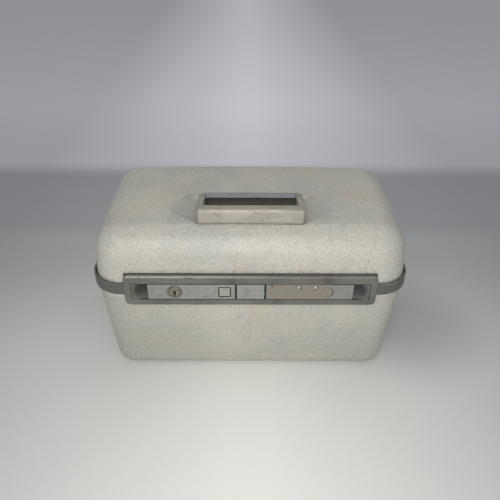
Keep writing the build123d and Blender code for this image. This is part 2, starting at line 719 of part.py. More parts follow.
# Bracket between the arms, let into the rear of the recess, with a metal strip on top
seat = recess_form(-seat_gap)
bracket_y0 = handle_rear - bracket_depth / 2
bracket_y1 = handle_rear + bracket_depth / 2
with BuildPart() as handle_bracket:
    block(-bracket_half, bracket_half, bracket_y0, bracket_y1, bracket_z1 - 2 * recess_depth,
          bracket_z1)
    add(seat, mode=Mode.INTERSECT)
    for side in (-1, 1):
        rod((side * bracket_half, handle_rear, pivot_z), (-side, 0, 0), handle_pin_radius,
            arm_width, mode=Mode.SUBTRACT)
        rod((side * screw_from_centre, handle_rear, lid_top - 2 * recess_depth), (0, 0, 1),
            screw_radius + running_gap, 2 * recess_depth - 2 * strip_thickness,
            mode=Mode.SUBTRACT)
with BuildPart() as handle_strip:
    block(-bracket_half, bracket_half, bracket_y0, bracket_y1, bracket_z1, strip_top)
    fillet(handle_strip.faces().sort_by(Axis.Z)[-1].edges(), strip_edge)
with BuildPart() as handle_pins:
    for side in (-1, 1):
        rod((side * (bracket_half - arm_width), handle_rear, pivot_z), (side, 0, 0),
            handle_pin_radius, 2 * arm_width - handle_pin_short)

# Screws up through the lid shell into the bracket
with BuildPart() as handle_screws:
    seat_z = recess_floor(screw_from_centre, shell_wall)
    for side in (-1, 1):
        rod((side * screw_from_centre, handle_rear, seat_z), (0, 0, 1), screw_radius,
            lid_top - 2 * strip_thickness - seat_z)
        rod((side * screw_from_centre, handle_rear, seat_z - screw_sink), (0, 0, -1), screw_head,
            screw_head_height)
        rod((side * screw_from_centre, handle_rear, seat_z - screw_sink), (0, 0, 1), screw_radius,
            screw_sink)

# Rear hinges: lid leaves and base leaves with alternate knuckles, on one pin each
knuckle_length = hinge_length / hinge_knuckles


def knuckle_span(side, index):
    low = side * hinge_from_centre - hinge_length / 2 + index * knuckle_length
    return low + moving_gap / 2, low + knuckle_length - moving_gap / 2


def hinge_leaf(side, profile, own, others):
    # a leaf over the hinge's length with its own knuckles, cleared round those of the other leaf
    with BuildPart() as leaf:
        with BuildSketch(Plane.YZ.offset(side * hinge_from_centre - hinge_length / 2)):
            with BuildLine():
                Polyline(*profile, profile[0])
            make_face()
        extrude(amount=hinge_length)
        for index in others:
            low, high = knuckle_span(side, index)
            rod((low - moving_gap, hinge_y, hinge_z), (1, 0, 0), knuckle_radius + moving_gap,
                high - low + 2 * moving_gap, mode=Mode.SUBTRACT)
        for index in own:
            low, high = knuckle_span(side, index)
            rod((low, hinge_y, hinge_z), (1, 0, 0), knuckle_radius, high - low)
        rod((side * hinge_from_centre - hinge_length, hinge_y, hinge_z), (1, 0, 0),
            hinge_pin_radius + running_gap, 2 * hinge_length, mode=Mode.SUBTRACT)
    return leaf.part


leaf_y0 = half_depth + seat_gap
leaf_y1 = leaf_y0 + leaf_thickness
lid_leaf_profile = ((leaf_y0, hinge_z), (leaf_y1, hinge_z), (leaf_y1, hinge_z + lid_leaf_height),
                    (leaf_y0, hinge_z + lid_leaf_height))
leaf_foot = hinge_z - base_leaf_height
leaf_knee = hinge_z - 2 * knuckle_radius
base_leaf_profile = ((base_rear(leaf_foot) + seat_gap, leaf_foot),
                     (base_rear(leaf_foot) + seat_gap + leaf_thickness, leaf_foot),
                     (base_rear(leaf_knee) + seat_gap + leaf_thickness, leaf_knee),
                     (hinge_y + leaf_thickness, hinge_z - leaf_thickness),
                     (hinge_y - leaf_thickness, hinge_z),
                     (base_rear(leaf_knee) + seat_gap, leaf_knee))
with BuildPart() as hinge_lid_leaves:
    for side in (-1, 1):
        add(hinge_leaf(side, lid_leaf_profile, (1, 3), (0, 2, 4)))
    for x in hinge_rivets_x:
        rod((x, leaf_y1 + cut_past, lid_rivet_z), (0, -1, 0), rivet_radius + running_gap,
            2 * leaf_thickness + cut_past, mode=Mode.SUBTRACT)
with BuildPart() as hinge_base_leaves:
    for side in (-1, 1):
        add(hinge_leaf(side, base_leaf_profile, (0, 2, 4), (1, 3)))
    for x in hinge_rivets_x:
        rod((x, half_depth, base_rivet_z), (0, -1, 0), rivet_radius + running_gap,
            2 * shell_inset, mode=Mode.SUBTRACT)
with BuildPart() as hinge_pins:
    for side in (-1, 1):
        rod((side * hinge_from_centre - hinge_length / 2, hinge_y, hinge_z), (1, 0, 0),
            hinge_pin_radius, hinge_length)
with BuildPart() as hinge_lid_rivets:
    for x in hinge_rivets_x:
        rod((x, leaf_y1, lid_rivet_z), (0, -1, 0), rivet_radius, leaf_thickness + frame_wall)
        rod((x, leaf_y1, lid_rivet_z), (0, 1, 0), rivet_head, rivet_head_height)
    fillet(hinge_lid_rivets.faces().group_by(Axis.Y)[-1].edges(), rivet_round)
with BuildPart() as hinge_base_rivets:
    rivet_y = base_rear(base_rivet_z + rivet_head) + seat_gap + leaf_thickness
    inside_y = base_rear(base_rivet_z - rivet_head) - shell_wall
    for x in hinge_rivets_x:
        rod((x, rivet_y, base_rivet_z), (0, -1, 0), rivet_radius, rivet_y - inside_y)
        rod((x, rivet_y, base_rivet_z), (0, 1, 0), rivet_head, rivet_head_height)
    fillet(hinge_base_rivets.faces().group_by(Axis.Y)[-1].edges(), rivet_round)

# Lid stay: a slotted arm on a pivot in the lid that slides over a stud in the base
stay_face = stay_x + stay_thickness
with BuildPart() as lid_stay:
    arm_length = stay_open + stay_end
    with BuildSketch(Plane.YZ.offset(stay_x)):
        with Locations((stay_y, stay_pivot_z - arm_length / 2)):
            SlotCenterToCenter(arm_length, stay_width, rotation=90)
        with Locations((stay_y, stay_pivot_z - (stay_closed + stay_open) / 2)):
            SlotCenterToCenter(stay_open - stay_closed, stay_slot + 2 * moving_gap, rotation=90,
                               mode=Mode.SUBTRACT)
        with Locations((stay_y, stay_pivot_z)):
            Circle(stay_slot / 2 + running_gap, mode=Mode.SUBTRACT)
    extrude(amount=stay_thickness)


def stay_rivet(z, wall_form):
    # a pad that stands on the case's side wall, a shank through the arm and a head on its face
    with BuildPart() as rivet:
        rod((-half_length, stay_y, z), (1, 0, 0), stay_pad_radius,
            half_length + stay_x - moving_gap)
        add(wall_form, mode=Mode.INTERSECT)
        rod((stay_x - stay_thickness, stay_y, z), (1, 0, 0), stay_slot / 2,
            2 * stay_thickness + moving_gap)
        rod((stay_face + moving_gap, stay_y, z), (1, 0, 0), stay_head_radius, stay_head)
    return rivet.part


with BuildPart() as stay_pivot:
    add(stay_rivet(stay_pivot_z, lid_form(inner_inset + seat_gap, shell_foot)))
with BuildPart() as stay_stud:
    add(stay_rivet(stay_stud_z, base_form(inner_inset + seat_gap, foot_height + shell_wall)))

# Feet, with shanks pressed into the base shell
with BuildPart() as feet:
    for x, y in foot_places:
        rod((x, y, 0), (0, 0, 1), foot_radius, foot_height)
    fillet(feet.faces().group_by(Axis.Z)[0].edges(), foot_height / 3)
    for x, y in foot_places:
        rod((x, y, foot_height), (0, 0, 1), rivet_radius, shell_wall)

# Lid lining, the panel over it and the mirror in its rim
lid_lining_z = parting_z + lid_lining_rise
lid_inside = lid_form(lining_inset, lid_lining_z)
with BuildPart() as lid_lining:
    add(lid_inside)
    add(lid_form(lining_inner, lid_lining_z - lining), mode=Mode.SUBTRACT)
    block(-half_length, half_length, -half_depth, half_depth, panel_z - seat_gap, lid_top,
          mode=Mode.SUBTRACT)
    rod((-half_length, stay_y, stay_pivot_z), (1, 0, 0), stay_pad_radius + seat_gap,
        2 * stay_from_side, mode=Mode.SUBTRACT)
with BuildPart() as lid_panel:
    block(-half_length, half_length, -half_depth, half_depth, panel_z,
          panel_z + panel_thickness)
    add(lid_inside, mode=Mode.INTERSECT)
with BuildPart() as mirror:
    with BuildSketch(Plane.XY.offset(panel_z - seat_gap - mirror_thickness)):
        RectangleRounded(mirror_length, mirror_depth, mirror_corner)
    extrude(amount=mirror_thickness)
mirror_frame_z = panel_z - mirror_thickness - 2 * seat_gap - mirror_lip
with BuildPart() as mirror_frame:
    with BuildSketch(Plane.XY.offset(mirror_frame_z)):
        RectangleRounded(mirror_length + 2 * mirror_rim, mirror_depth + 2 * mirror_rim,
                         mirror_corner + mirror_rim)
    extrude(amount=panel_z - mirror_frame_z)
    fillet(mirror_frame.faces().sort_by(Axis.Z)[0].edges(), mirror_lip)
    with BuildSketch(Plane.XY.offset(mirror_frame_z)):
        RectangleRounded(mirror_length - mirror_rim, mirror_depth - mirror_rim, mirror_corner)
    extrude(amount=panel_z - mirror_frame_z, mode=Mode.SUBTRACT)
    with BuildSketch(Plane.XY.offset(mirror_frame_z + mirror_lip)):
        RectangleRounded(mirror_length + 2 * seat_gap, mirror_depth + 2 * seat_gap,
                         mirror_corner + seat_gap)
    extrude(amount=mirror_thickness + 2 * seat_gap, mode=Mode.SUBTRACT)

# Base lining
lining_floor = foot_height + shell_wall + lining_gap
with BuildPart() as base_lining:
    add(base_form(lining_inset, lining_floor))
    add(base_form(lining_inner, lining_floor + lining), mode=Mode.SUBTRACT)
    rod((-half_length, stay_y, stay_stud_z), (1, 0, 0), stay_pad_radius + seat_gap,
        2 * stay_from_side, mode=Mode.SUBTRACT)

# Tray rests along the front and rear of the base, and the lift-out tray with its compartments
base_inside = base_form(lining_inner + seat_gap, lining_floor + lining)
rest_z1 = tray_z0 - seat_gap
with BuildPart() as tray_rests:
    for side in (-1, 1):
        block(-rest_length / 2, rest_length / 2, side * half_depth,
              side * (tray_depth / 2 - rest_width), rest_z1 - rest_thickness, rest_z1)
    add(base_inside, mode=Mode.INTERSECT)
with BuildPart() as tray:
    with BuildSketch(Plane.XY.offset(tray_z0)):
        RectangleRounded(tray_length, tray_depth, tray_corner)
    extrude(amount=tray_height)
    fillet(tray.faces().sort_by(Axis.Z)[0].edges(), tray_edge)
    with BuildSketch(Plane.XY.offset(tray_z0 + tray_wall)) as cells:
        RectangleRounded(tray_length - 2 * tray_wall, tray_depth - 2 * tray_wall,
                         tray_corner - tray_wall)
        for x in (-tray_divider, tray_divider):
            with Locations((x, 0)):
                Rectangle(tray_wall, tray_depth, mode=Mode.SUBTRACT)
    extrude(amount=tray_height, mode=Mode.SUBTRACT)
    for side in (-1, 1):
        rod((side * (tray_length / 2 - tray_corner), 0, tray_z0 + tray_height), (side, 0, 0),
            tray_notch_radius, tray_corner + cut_past, mode=Mode.SUBTRACT)

# Gathered pocket along the rear wall with an elastic edge
pocket_z0 = foot_height + pocket_foot
pocket_z1 = pocket_z0 + pocket_height


def pocket_profile(inset):
    # section across the pocket: full near its foot and drawn to the wall at its mouth
    foot_y = base_rear(pocket_z0) - lining_inner + shell_inset - 2 * seat_gap
    mouth_y = base_rear(pocket_z1) - lining_inner + shell_inset - 2 * seat_gap
    return ((foot_y + inset, pocket_z0 + inset), (foot_y - pocket_bulge / 2, pocket_z0 + inset),
            (foot_y - pocket_bulge + inset, pocket_z0 + pocket_belly),
            (mouth_y - pocket_mouth + inset, pocket_z1 + inset),
            (mouth_y + inset, pocket_z1 + inset))


def pocket_body(inset):
    foot, low, belly, mouth, back = pocket_profile(inset)
    half = pocket_length / 2 - inset
    with BuildPart() as body:
        with BuildSketch(Plane.YZ.offset(-half)):
            with BuildLine():
                Line(foot, low)
                Spline(low, belly, mouth)
                Line(mouth, back)
                Line(back, foot)
            make_face()
        extrude(amount=2 * half)
    return body.part


with BuildPart() as rear_pocket:
    add(pocket_body(0))
    add(pocket_body(pocket_cloth), mode=Mode.SUBTRACT)
    add(base_inside, mode=Mode.INTERSECT)

# Elastic in the pocket's hem, over the outside of its mouth
with BuildPart() as pocket_elastic:
    mouth_y = pocket_profile(0)[3][0]
    block(-pocket_length / 2, pocket_length / 2, mouth_y - seat_gap - elastic_thickness,
          mouth_y - seat_gap, pocket_z1 - elastic_height, pocket_z1)
    add(pocket_body(-seat_gap / 2), mode=Mode.SUBTRACT)

pieces = {
    "lid_shell": lid_shell,
    "base_shell": base_shell,
    "lid_frame": lid_frame,
    "base_frame": base_frame,
    "latch_housing": latch_housing,
    "housing_rivets": housing_rivets,
    "centre_plate": centre_plate,
    "left_latch_lever": left_latch_lever,
    "right_latch_lever": right_latch_lever,
    "latch_studs": latch_studs,
    "latch_pins": latch_pins,
    "latch_springs": latch_springs,
    "latch_keepers": latch_keepers,
    "keeper_rivets": keeper_rivets,
    "lock_bezel": lock_bezel,
    "lock_cylinder": lock_cylinder,
    "lock_cam": lock_cam,
    "initial_frame": initial_frame,
    "initial_tile": initial_tile,
    "handle_grip": handle_grip,
    "handle_bracket": handle_bracket,
    "handle_strip": handle_strip,
    "handle_pins": handle_pins,
    "handle_screws": handle_screws,
    "hinge_lid_leaves": hinge_lid_leaves,
    "hinge_base_leaves": hinge_base_leaves,
    "hinge_pins": hinge_pins,
    "hinge_lid_rivets": hinge_lid_rivets,
    "hinge_base_rivets": hinge_base_rivets,
    "lid_stay": lid_stay,
    "stay_pivot": stay_pivot,
    "stay_stud": stay_stud,
    "feet": feet,
    "lid_lining": lid_lining,
    "lid_panel": lid_panel,
    "mirror": mirror,
    "mirror_frame": mirror_frame,
    "base_lining": base_lining,
    "tray_rests": tray_rests,
    "tray": tray,
    "rear_pocket": rear_pocket,
    "pocket_elastic": pocket_elastic,
}
os.makedirs("parts", exist_ok=True)
for name, piece in pieces.items():
    piece.part.label = name
    export_step(piece.part, f"parts/{name}.step")
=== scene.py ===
import math
import random

import bpy
from mathutils import Matrix, Vector


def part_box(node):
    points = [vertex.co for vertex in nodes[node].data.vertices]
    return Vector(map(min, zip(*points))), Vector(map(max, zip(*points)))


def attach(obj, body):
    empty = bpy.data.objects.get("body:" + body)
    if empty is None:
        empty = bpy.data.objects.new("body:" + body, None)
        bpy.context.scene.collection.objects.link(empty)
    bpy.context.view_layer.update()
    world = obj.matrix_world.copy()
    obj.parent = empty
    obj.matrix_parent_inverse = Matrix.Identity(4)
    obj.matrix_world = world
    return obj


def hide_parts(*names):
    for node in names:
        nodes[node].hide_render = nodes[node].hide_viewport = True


# Looks of a hard-shell cosmetic case: a pebbled cream shell, grey enamel frame, brushed latches.
# Metres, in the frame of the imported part: X along the case, the front faces -Y, Z is up.
# In the looks, places, widths, radii and depths are in millimetres. Noises hold the arguments of
# Finish.noise or Finish.patches. Three numbers such as (0.36, 0.66, 0.8) say where a cover starts,
# where it is full and the share that it reaches; without the third it reaches 1.
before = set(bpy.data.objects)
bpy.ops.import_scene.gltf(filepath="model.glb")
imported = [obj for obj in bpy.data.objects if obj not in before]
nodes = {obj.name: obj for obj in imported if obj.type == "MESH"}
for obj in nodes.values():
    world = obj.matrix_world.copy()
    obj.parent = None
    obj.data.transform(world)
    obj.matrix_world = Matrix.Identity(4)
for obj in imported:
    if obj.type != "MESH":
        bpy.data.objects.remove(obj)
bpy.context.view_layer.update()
print("frame loaded:", len(nodes), "nodes")

mm = 0.001


def deselectAll():
    if bpy.context.object and bpy.context.object.mode != "OBJECT":
        bpy.ops.object.mode_set(mode="OBJECT")
    bpy.ops.object.select_all(action="DESELECT")


def tint(red, green, blue):
    # a screen colour, 0 to 255, as the linear colour that the shader wants
    def linear(value):
        share = value / 255
        return share / 12.92 if share <= 0.04045 else ((share + 0.055) / 1.055) ** 2.4
    return (linear(red), linear(green), linear(blue), 1)


# Shader maths: a wire is an output socket that can stand in a Python sum
class Wire:
    def __init__(self, finish, socket):
        self.finish = finish
        self.socket = socket

    def sum(self, operation, first, second=0.0):
        return self.finish.add("Math", {"operation": operation}, {0: first, 1: second})

    def __add__(self, other):
        return self.sum("ADD", self, other)

    def __radd__(self, other):
        return self.sum("ADD", other, self)

    def __sub__(self, other):
        return self.sum("SUBTRACT", self, other)

    def __rsub__(self, other):
        return self.sum("SUBTRACT", other, self)

    def __mul__(self, other):
        return self.sum("MULTIPLY", self, other)

    def __rmul__(self, other):
        return self.sum("MULTIPLY", other, self)

    def __truediv__(self, other):
        return self.sum("DIVIDE", self, other)

    def __abs__(self):
        return self.sum("ABSOLUTE", self)

    def atLeast(self, other):
        return self.sum("MAXIMUM", self, other)

    def atMost(self, other):
        return self.sum("MINIMUM", self, other)

    def root(self):
        return self.sum("SQRT", self)

    def wave(self):
        # a sine of this phase, raised to run from 0 to 1
        return self.sum("SINE", self) * 0.5 + 0.5

    def swing(self, amount):
        # amount times the distance of a noise from its middle
        return (self - 0.5) * amount

    def ramp(self, start, full, share=1.0):
        # 0 before start, share past full, smooth between; start may be the higher of the two
        return self.finish.add("MapRange", {"interpolation_type": "SMOOTHSTEP"},
                               {0: self, 1: start, 2: full, 3: 0.0, 4: share})

    def along(self, start, full, share=1.0):
        # a ramp with its ends in millimetres
        return self.ramp(start * mm, full * mm, share)

    def within(self, low, high, soft):
        # 1 from low to high, fading over soft, all in millimetres
        return self.along(low - soft, low + soft) * self.along(high + soft, high - soft)


class Finish:
    spotCore = 0.4      # the share of a spot's radius and of a scratch's width that is full
    lineCore = 0.3

    def __init__(self, name):
        self.material = bpy.data.materials.new(name)
        self.material.use_nodes = True
        self.tree = self.material.node_tree
        self.tree.nodes.clear()
        self.place = self.add("TexCoord", output="Object")
        self.x, self.y, self.z = (
            self.add("SeparateXYZ", {}, {0: self.place}, output=axis) for axis in "XYZ")

    def add(self, kind, settings=None, inputs=None, output=0):
        node = self.tree.nodes.new("ShaderNode" + kind)
        for key, value in (settings or {}).items():
            setattr(node, key, value)
        for key, value in (inputs or {}).items():
            if isinstance(value, Wire):
                self.tree.links.new(value.socket, node.inputs[key])
            else:
                node.inputs[key].default_value = value
        return Wire(self, node.outputs[output]) if node.outputs else None

    def vector(self, operation, first, second, output=0):
        return self.add("VectorMath", {"operation": operation}, {0: first, 1: second},
                        output=output)

    def noise(self, scale, detail=2.0, roughness=0.5, across=None, shift=(0, 0, 0), warp=0.0,
              output=0):
        # across scales the coordinates per axis, for grain that runs one way
        where = self.place
        if across:
            where = self.add("Mapping", {}, {0: where, 1: shift, 3: across})
        return self.add("TexNoise", {}, {"Vector": where, "Scale": scale, "Detail": detail,
                                         "Roughness": roughness, "Distortion": warp},
                        output=output)

    def patches(self, span, **noise):
        # a noise ramped over span
        return self.noise(**noise).ramp(*span)

    def cells(self, scale, where):
        return self.add("TexVoronoi", {}, {"Vector": where, "Scale": scale}, output="Distance")

    def blend(self, share, under, over):
        return self.add("Mix", {"data_type": "RGBA"}, {0: share, 6: under, 7: over}, output=2)

    def veil(self, under, cover, span, over):
        # over laid on under where cover, ramped over span, rises
        return self.blend(cover.ramp(*span), under, over)

    def offsets(self, x, z):
        # how far right of and above the line along Y at x and z
        return self.x - x * mm, self.z - z * mm

    def apart(self, x, z):
        # distance from that line
        right, above = self.offsets(x, z)
        return (right * right + above * above).root()

    def shaken(self, amount, scale):
        # coordinates pushed about by up to amount, so that drawn lines waver
        shake = self.vector("SUBTRACT", self.noise(scale, output="Color"), (0.5, 0.5, 0.5))
        shake = self.vector("MULTIPLY", shake, (2 * amount * mm,) * 3)
        return self.vector("ADD", self.place, shake)

    def spots(self, marks, where):
        # 1 in round spots, each given as (x, y, z, radius)
        total = 0.0
        for *place, radius in marks:
            away = self.vector("DISTANCE", where, [value * mm for value in place], "Value")
            total = away.along(radius, self.spotCore * radius) + total
        return total.atMost(1.0)

    def scratches(self, lines, width, where):
        # 1 along broken lines, each given by its points
        total = 0.0
        for line in lines:
            points = [Vector(point) * mm for point in line]
            for start, end in zip(points, points[1:]):
                run = end - start
                offset = self.vector("SUBTRACT", where, tuple(start))
                part = self.vector("DOT_PRODUCT", offset, tuple(run / run.length_squared), "Value")
                near = self.add("VectorMath", {"operation": "SCALE"},
                                {0: tuple(run), "Scale": part.atLeast(0.0).atMost(1.0)})
                away = self.vector("DISTANCE", offset, near, "Value")
                total = away.along(width, self.lineCore * width) + total
        return total.atMost(1.0)

    def bump(self, height, depth, strength, over=None):
        inputs = {"Height": height, "Distance": depth * mm, "Strength": strength}
        if over:
            inputs["Normal"] = over
        return self.add("Bump", {}, inputs)

    def surface(self, colour, roughness, normal=None, **others):
        inputs = {"Base Color": colour, "Roughness": roughness}
        if normal:
            inputs["Normal"] = normal
        inputs.update(others)
        shader = self.add("BsdfPrincipled", {}, inputs)
        self.add("OutputMaterial", {}, {"Surface": shader})
        return self.material


# Moulded shells: pebbled and mottled, yellowed in places, with grime, specks and a few scratches
shellLook = {
    "cream": tint(201, 198, 186),
    "yellowed": tint(202, 193, 168),
    "grey": tint(184, 183, 177),
    "shadeGrey": tint(150, 150, 143),
    "pink": tint(200, 187, 176),
    "stain": tint(206, 178, 148),
    "grime": tint(104, 97, 82),
    "mark": tint(58, 54, 48),
    "clouds": dict(scale=11.0, detail=4.0, roughness=0.6),
    "cloudsGrey": (0.36, 0.66, 0.8),
    "blotches": dict(scale=34.0, detail=4.0, roughness=0.65, warp=0.5),
    "blotchesYellow": (0.48, 0.74, 0.5),
    "blush": dict(scale=19.0, across=(1, 1, 1.6), shift=(3.1, 1.7, 0.4)),
    "blushPink": (0.54, 0.74, 0.35),
    "stainWaver": (9.0, 60.0),
    "stainShare": 0.16,
    # painted shade greys the base all over, and more so at its left and right ends and its foot
    "baseTop": (114, 110),
    "baseShade": 0.12,
    "leftEnd": (-20, -150, 0.3),
    "rightEnd": (40, 150, 0.12),
    "foot": (100, 10, 0.32),
    "pebbles": 620.0,             # per metre
    "pebbleWaver": (0.5, 700.0),
    "pebbleShare": 0.9,
    "fine": dict(scale=1500.0, detail=3.0, roughness=0.6),
    "fineShare": 0.5,
    "grainGrimy": (0.42, 1.0, 0.3),
    "mottle": dict(scale=240.0, detail=4.0, roughness=0.7),
    "mottleGrimy": (0.5, 0.76, 0.2),
    "specked": dict(span=(0.73, 0.78, 0.5), scale=520.0, detail=1.0),
    "speckedArea": dict(span=(0.46, 0.6), scale=26.0),
    # painted shade in the handle's recess: half its length, its span along Y and its fall
    "recessHalf": (92, 82),
    "recessSpan": (-68, -4, 1),
    "recessFall": (190.9, 188.4, 0.3),
    # grime caught above the front trim and the band
    "frontDepth": (-88, -92),
    "frontHalf": (136, 132),
    "trimTop": (141.2, 145.4, 2.0),
    "bandTop": (131.2, 133.6, 0.8),
    "bandShare": 0.8,
    "caught": dict(span=(0.4, 0.72), scale=160.0, detail=4.0, roughness=0.7),
    "caughtShare": 0.55,
    "scratches": [
        [(-134.9, -92.7, 154.6), (-129.8, -92.6, 156.7), (-127.0, -92.6, 157.1)],
        [(-125.4, -92.5, 157.4), (-123.4, -92.5, 158.4)],
        [(-141.6, -39.0, 187.9), (-140.4, -46.0, 187.8), (-144.6, -53.0, 186.9)],
        [(-143.6, -84.6, 177.2), (-140.2, -87.6, 174.6)],
        [(118.4, -92.7, 154.6), (117.8, -92.9, 150.4), (120.6, -93.0, 149.0)]],
    "scratchWidth": 0.75,
    "scuff": [[(-16.7, 11.2, 191.2), (-4.0, 11.6, 191.3), (7.6, 12.7, 191.2)]],
    "scuffWidth": 0.9,
    "scuffShare": 0.55,
    "markWaver": (0.8, 330.0),
    "broken": dict(span=(0.36, 0.56), scale=420.0),
    "specks": [
        (-142.8, -89.3, 170.4, 0.9), (-148.6, -86.0, 173.0, 0.8), (-146.0, -88.5, 169.0, 0.7),
        (-5.4, -91.7, 167.1, 0.8), (60.0, -76.4, 186.0, 1.0), (141.0, -90.6, 158.0, 0.7),
        (-118.0, -60.0, 190.0, 0.7), (38.0, 52.0, 190.6, 0.8), (-88.0, -93.9, 60.0, 0.8),
        (104.0, 93.0, 160.0, 1.0), (-40.0, 92.0, 70.0, 1.0), (158.0, 20.0, 84.0, 0.9)],
    "speckWaver": (0.5, 900.0),
    "markShare": 0.75,
    "stains": [
        (-15.3, -92.6, 157.0, 11.0), (51.2, -93.2, 147.5, 9.0), (-12.0, -93.3, 147.0, 8.0),
        (62.6, 56.9, 189.0, 10.0), (118.0, -7.0, 189.5, 22.0), (-60.0, -93.4, 98.0, 16.0),
        (8.0, -93.4, 92.0, 22.0), (-158.0, 10.0, 60.0, 18.0), (60.0, 93.0, 80.0, 24.0)],
    "roughness": 0.32,
    "mottleRough": 0.2,
    "cloudsRough": 0.12,
    "caughtRough": 0.2,
    "grainBump": (0.3, 0.5),
    "blotchBump": (0.7, 0.2),
}


def shellFinish():
    look = shellLook
    f = Finish("pebbledShell")
    clouds = f.noise(**look["clouds"])
    blotches = f.noise(**look["blotches"])
    stains = f.spots(look["stains"], f.shaken(*look["stainWaver"]))
    colour = f.veil(look["cream"], clouds, look["cloudsGrey"], look["grey"])
    colour = f.veil(colour, blotches, look["blotchesYellow"], look["yellowed"])
    colour = f.veil(colour, f.noise(**look["blush"]), look["blushPink"], look["pink"])
    colour = f.blend(stains * look["stainShare"], colour, look["stain"])
    # painted shade on the base: darker at its ends and its foot
    ends = f.x.along(*look["leftEnd"]) + f.x.along(*look["rightEnd"])
    baseShading = ends + f.z.along(*look["foot"]) + look["baseShade"]
    colour = f.blend(f.z.along(*look["baseTop"]) * baseShading, colour, look["shadeGrey"])

    pebbles = f.cells(look["pebbles"], f.shaken(*look["pebbleWaver"]))
    grain = pebbles * look["pebbleShare"] + f.noise(**look["fine"]) * look["fineShare"]
    mottle = f.noise(**look["mottle"])
    specked = f.patches(**look["specked"]) * f.patches(**look["speckedArea"])
    colour = f.veil(colour, grain, look["grainGrimy"], look["grime"])
    colour = f.veil(colour, mottle, look["mottleGrimy"], look["grime"])
    colour = f.blend(specked, colour, look["grime"])

    # painted shade in the handle's recess
    sunk = abs(f.x).along(*look["recessHalf"]) * f.y.within(*look["recessSpan"])
    colour = f.blend(sunk * f.z.along(*look["recessFall"]), colour, look["shadeGrey"])
    front = f.y.along(*look["frontDepth"]) * abs(f.x).along(*look["frontHalf"])
    caught = f.z.within(*look["bandTop"]) * look["bandShare"]
    caught = caught.atLeast(front * f.z.within(*look["trimTop"])) * f.patches(**look["caught"])
    colour = f.blend(caught * look["caughtShare"], colour, look["grime"])

    wavering = f.shaken(*look["markWaver"])
    broken = f.patches(**look["broken"])
    marks = f.scratches(look["scratches"], look["scratchWidth"], wavering) * broken
    marks = marks.atLeast(f.spots(look["specks"], f.shaken(*look["speckWaver"])))
    scuff = f.scratches(look["scuff"], look["scuffWidth"], wavering) * broken
    marks = marks.atLeast(scuff * look["scuffShare"])
    colour = f.blend(marks * look["markShare"], colour, look["mark"])

    roughness = look["roughness"] + mottle.swing(look["mottleRough"]) + clouds.swing(
        look["cloudsRough"]) + caught * look["caughtRough"]
    normal = f.bump(grain * -1.0, *look["grainBump"])
    normal = f.bump(blotches, *look["blotchBump"], over=normal)
    return f.surface(colour, roughness, normal)


# Frame, trim and latch housing: satin grey enamel, worn paler at its edges, with painted shade
# behind its front faces and in the scoops
frameLook = {
    "enamel": tint(100, 101, 95),
    "shade": tint(85, 86, 81),
    "band": tint(78, 79, 77),
    "worn": tint(182, 178, 160),
    "dark": tint(28, 29, 26),
    "clouds": dict(scale=28.0, detail=4.0, roughness=0.6),
    "cloudsShaded": (0.35, 0.7),
    "shadeBehindFront": (-98.5, -98.0, 0.75),
    "streaks": dict(scale=1.0, detail=4.0, roughness=0.65, across=(34, 90, 1100)),
    "streaksWorn": (0.5, 0.78, 0.2),
    "smudges": [(79.9, -100.5, 139.4, 9.0), (-20.0, -100.5, 137.0, 7.0),
                (30.0, -100.5, 109.0, 9.0)],
    "smudgeWaver": (3.0, 220.0),
    "smudgeShare": 0.3,
    "chips": dict(span=(0.7, 0.76, 0.5), scale=480.0),
    "cloudsChipped": (0.5, 0.64),
    # the lip of the upper trim, worn more to the left, and the upper edge of the band
    "ragged": dict(scale=300.0, detail=3.0),
    "raggedBy": 0.5,
    "lip": (141.3, 141.9),
    "lipDepth": (-96.8, -97.6),
    "lipLeft": (60, -70, 0.7),
    "lipLeast": 0.3,
    "bandEdge": (130.4, 131.0, 0.3),
    "bandHalf": (133, 134),
    "edgeBreaks": dict(span=(0.45, 0.6, 0.6), scale=60.0, detail=3.0),
    "edgeShare": 0.8,
    # the finger scoops, darkened with painted shade: their span along X to either side, their
    # depth, top and foot
    "scoop": (107.6, 126.2, 0.4),
    "scoopDepth": (-100.2, -96.4),
    "scoopTop": (134.0, 132.8),
    "scoopFoot": (112.6, 113.2),
    "scoopShade": (0.7, 0.4),
    "nicks": [[(-68.8, -100.3, 141.6), (-65.0, -100.3, 141.2), (-59.6, -100.3, 141.5)],
              [(-116.2, -100.3, 141.8), (-115.0, -100.3, 141.4)]],
    "nickWidth": 0.8,
    "nickWaver": (0.3, 500.0),
    "nickShare": 0.85,
    "roughness": 0.44,
    "cloudsRough": 0.2,
    "streaksRough": (0.5, 0.8, 0.1),
    "fine": dict(scale=900.0, detail=3.0),
    "fineBump": (0.06, 0.4),
    "streakBump": (0.05, 0.3),
}


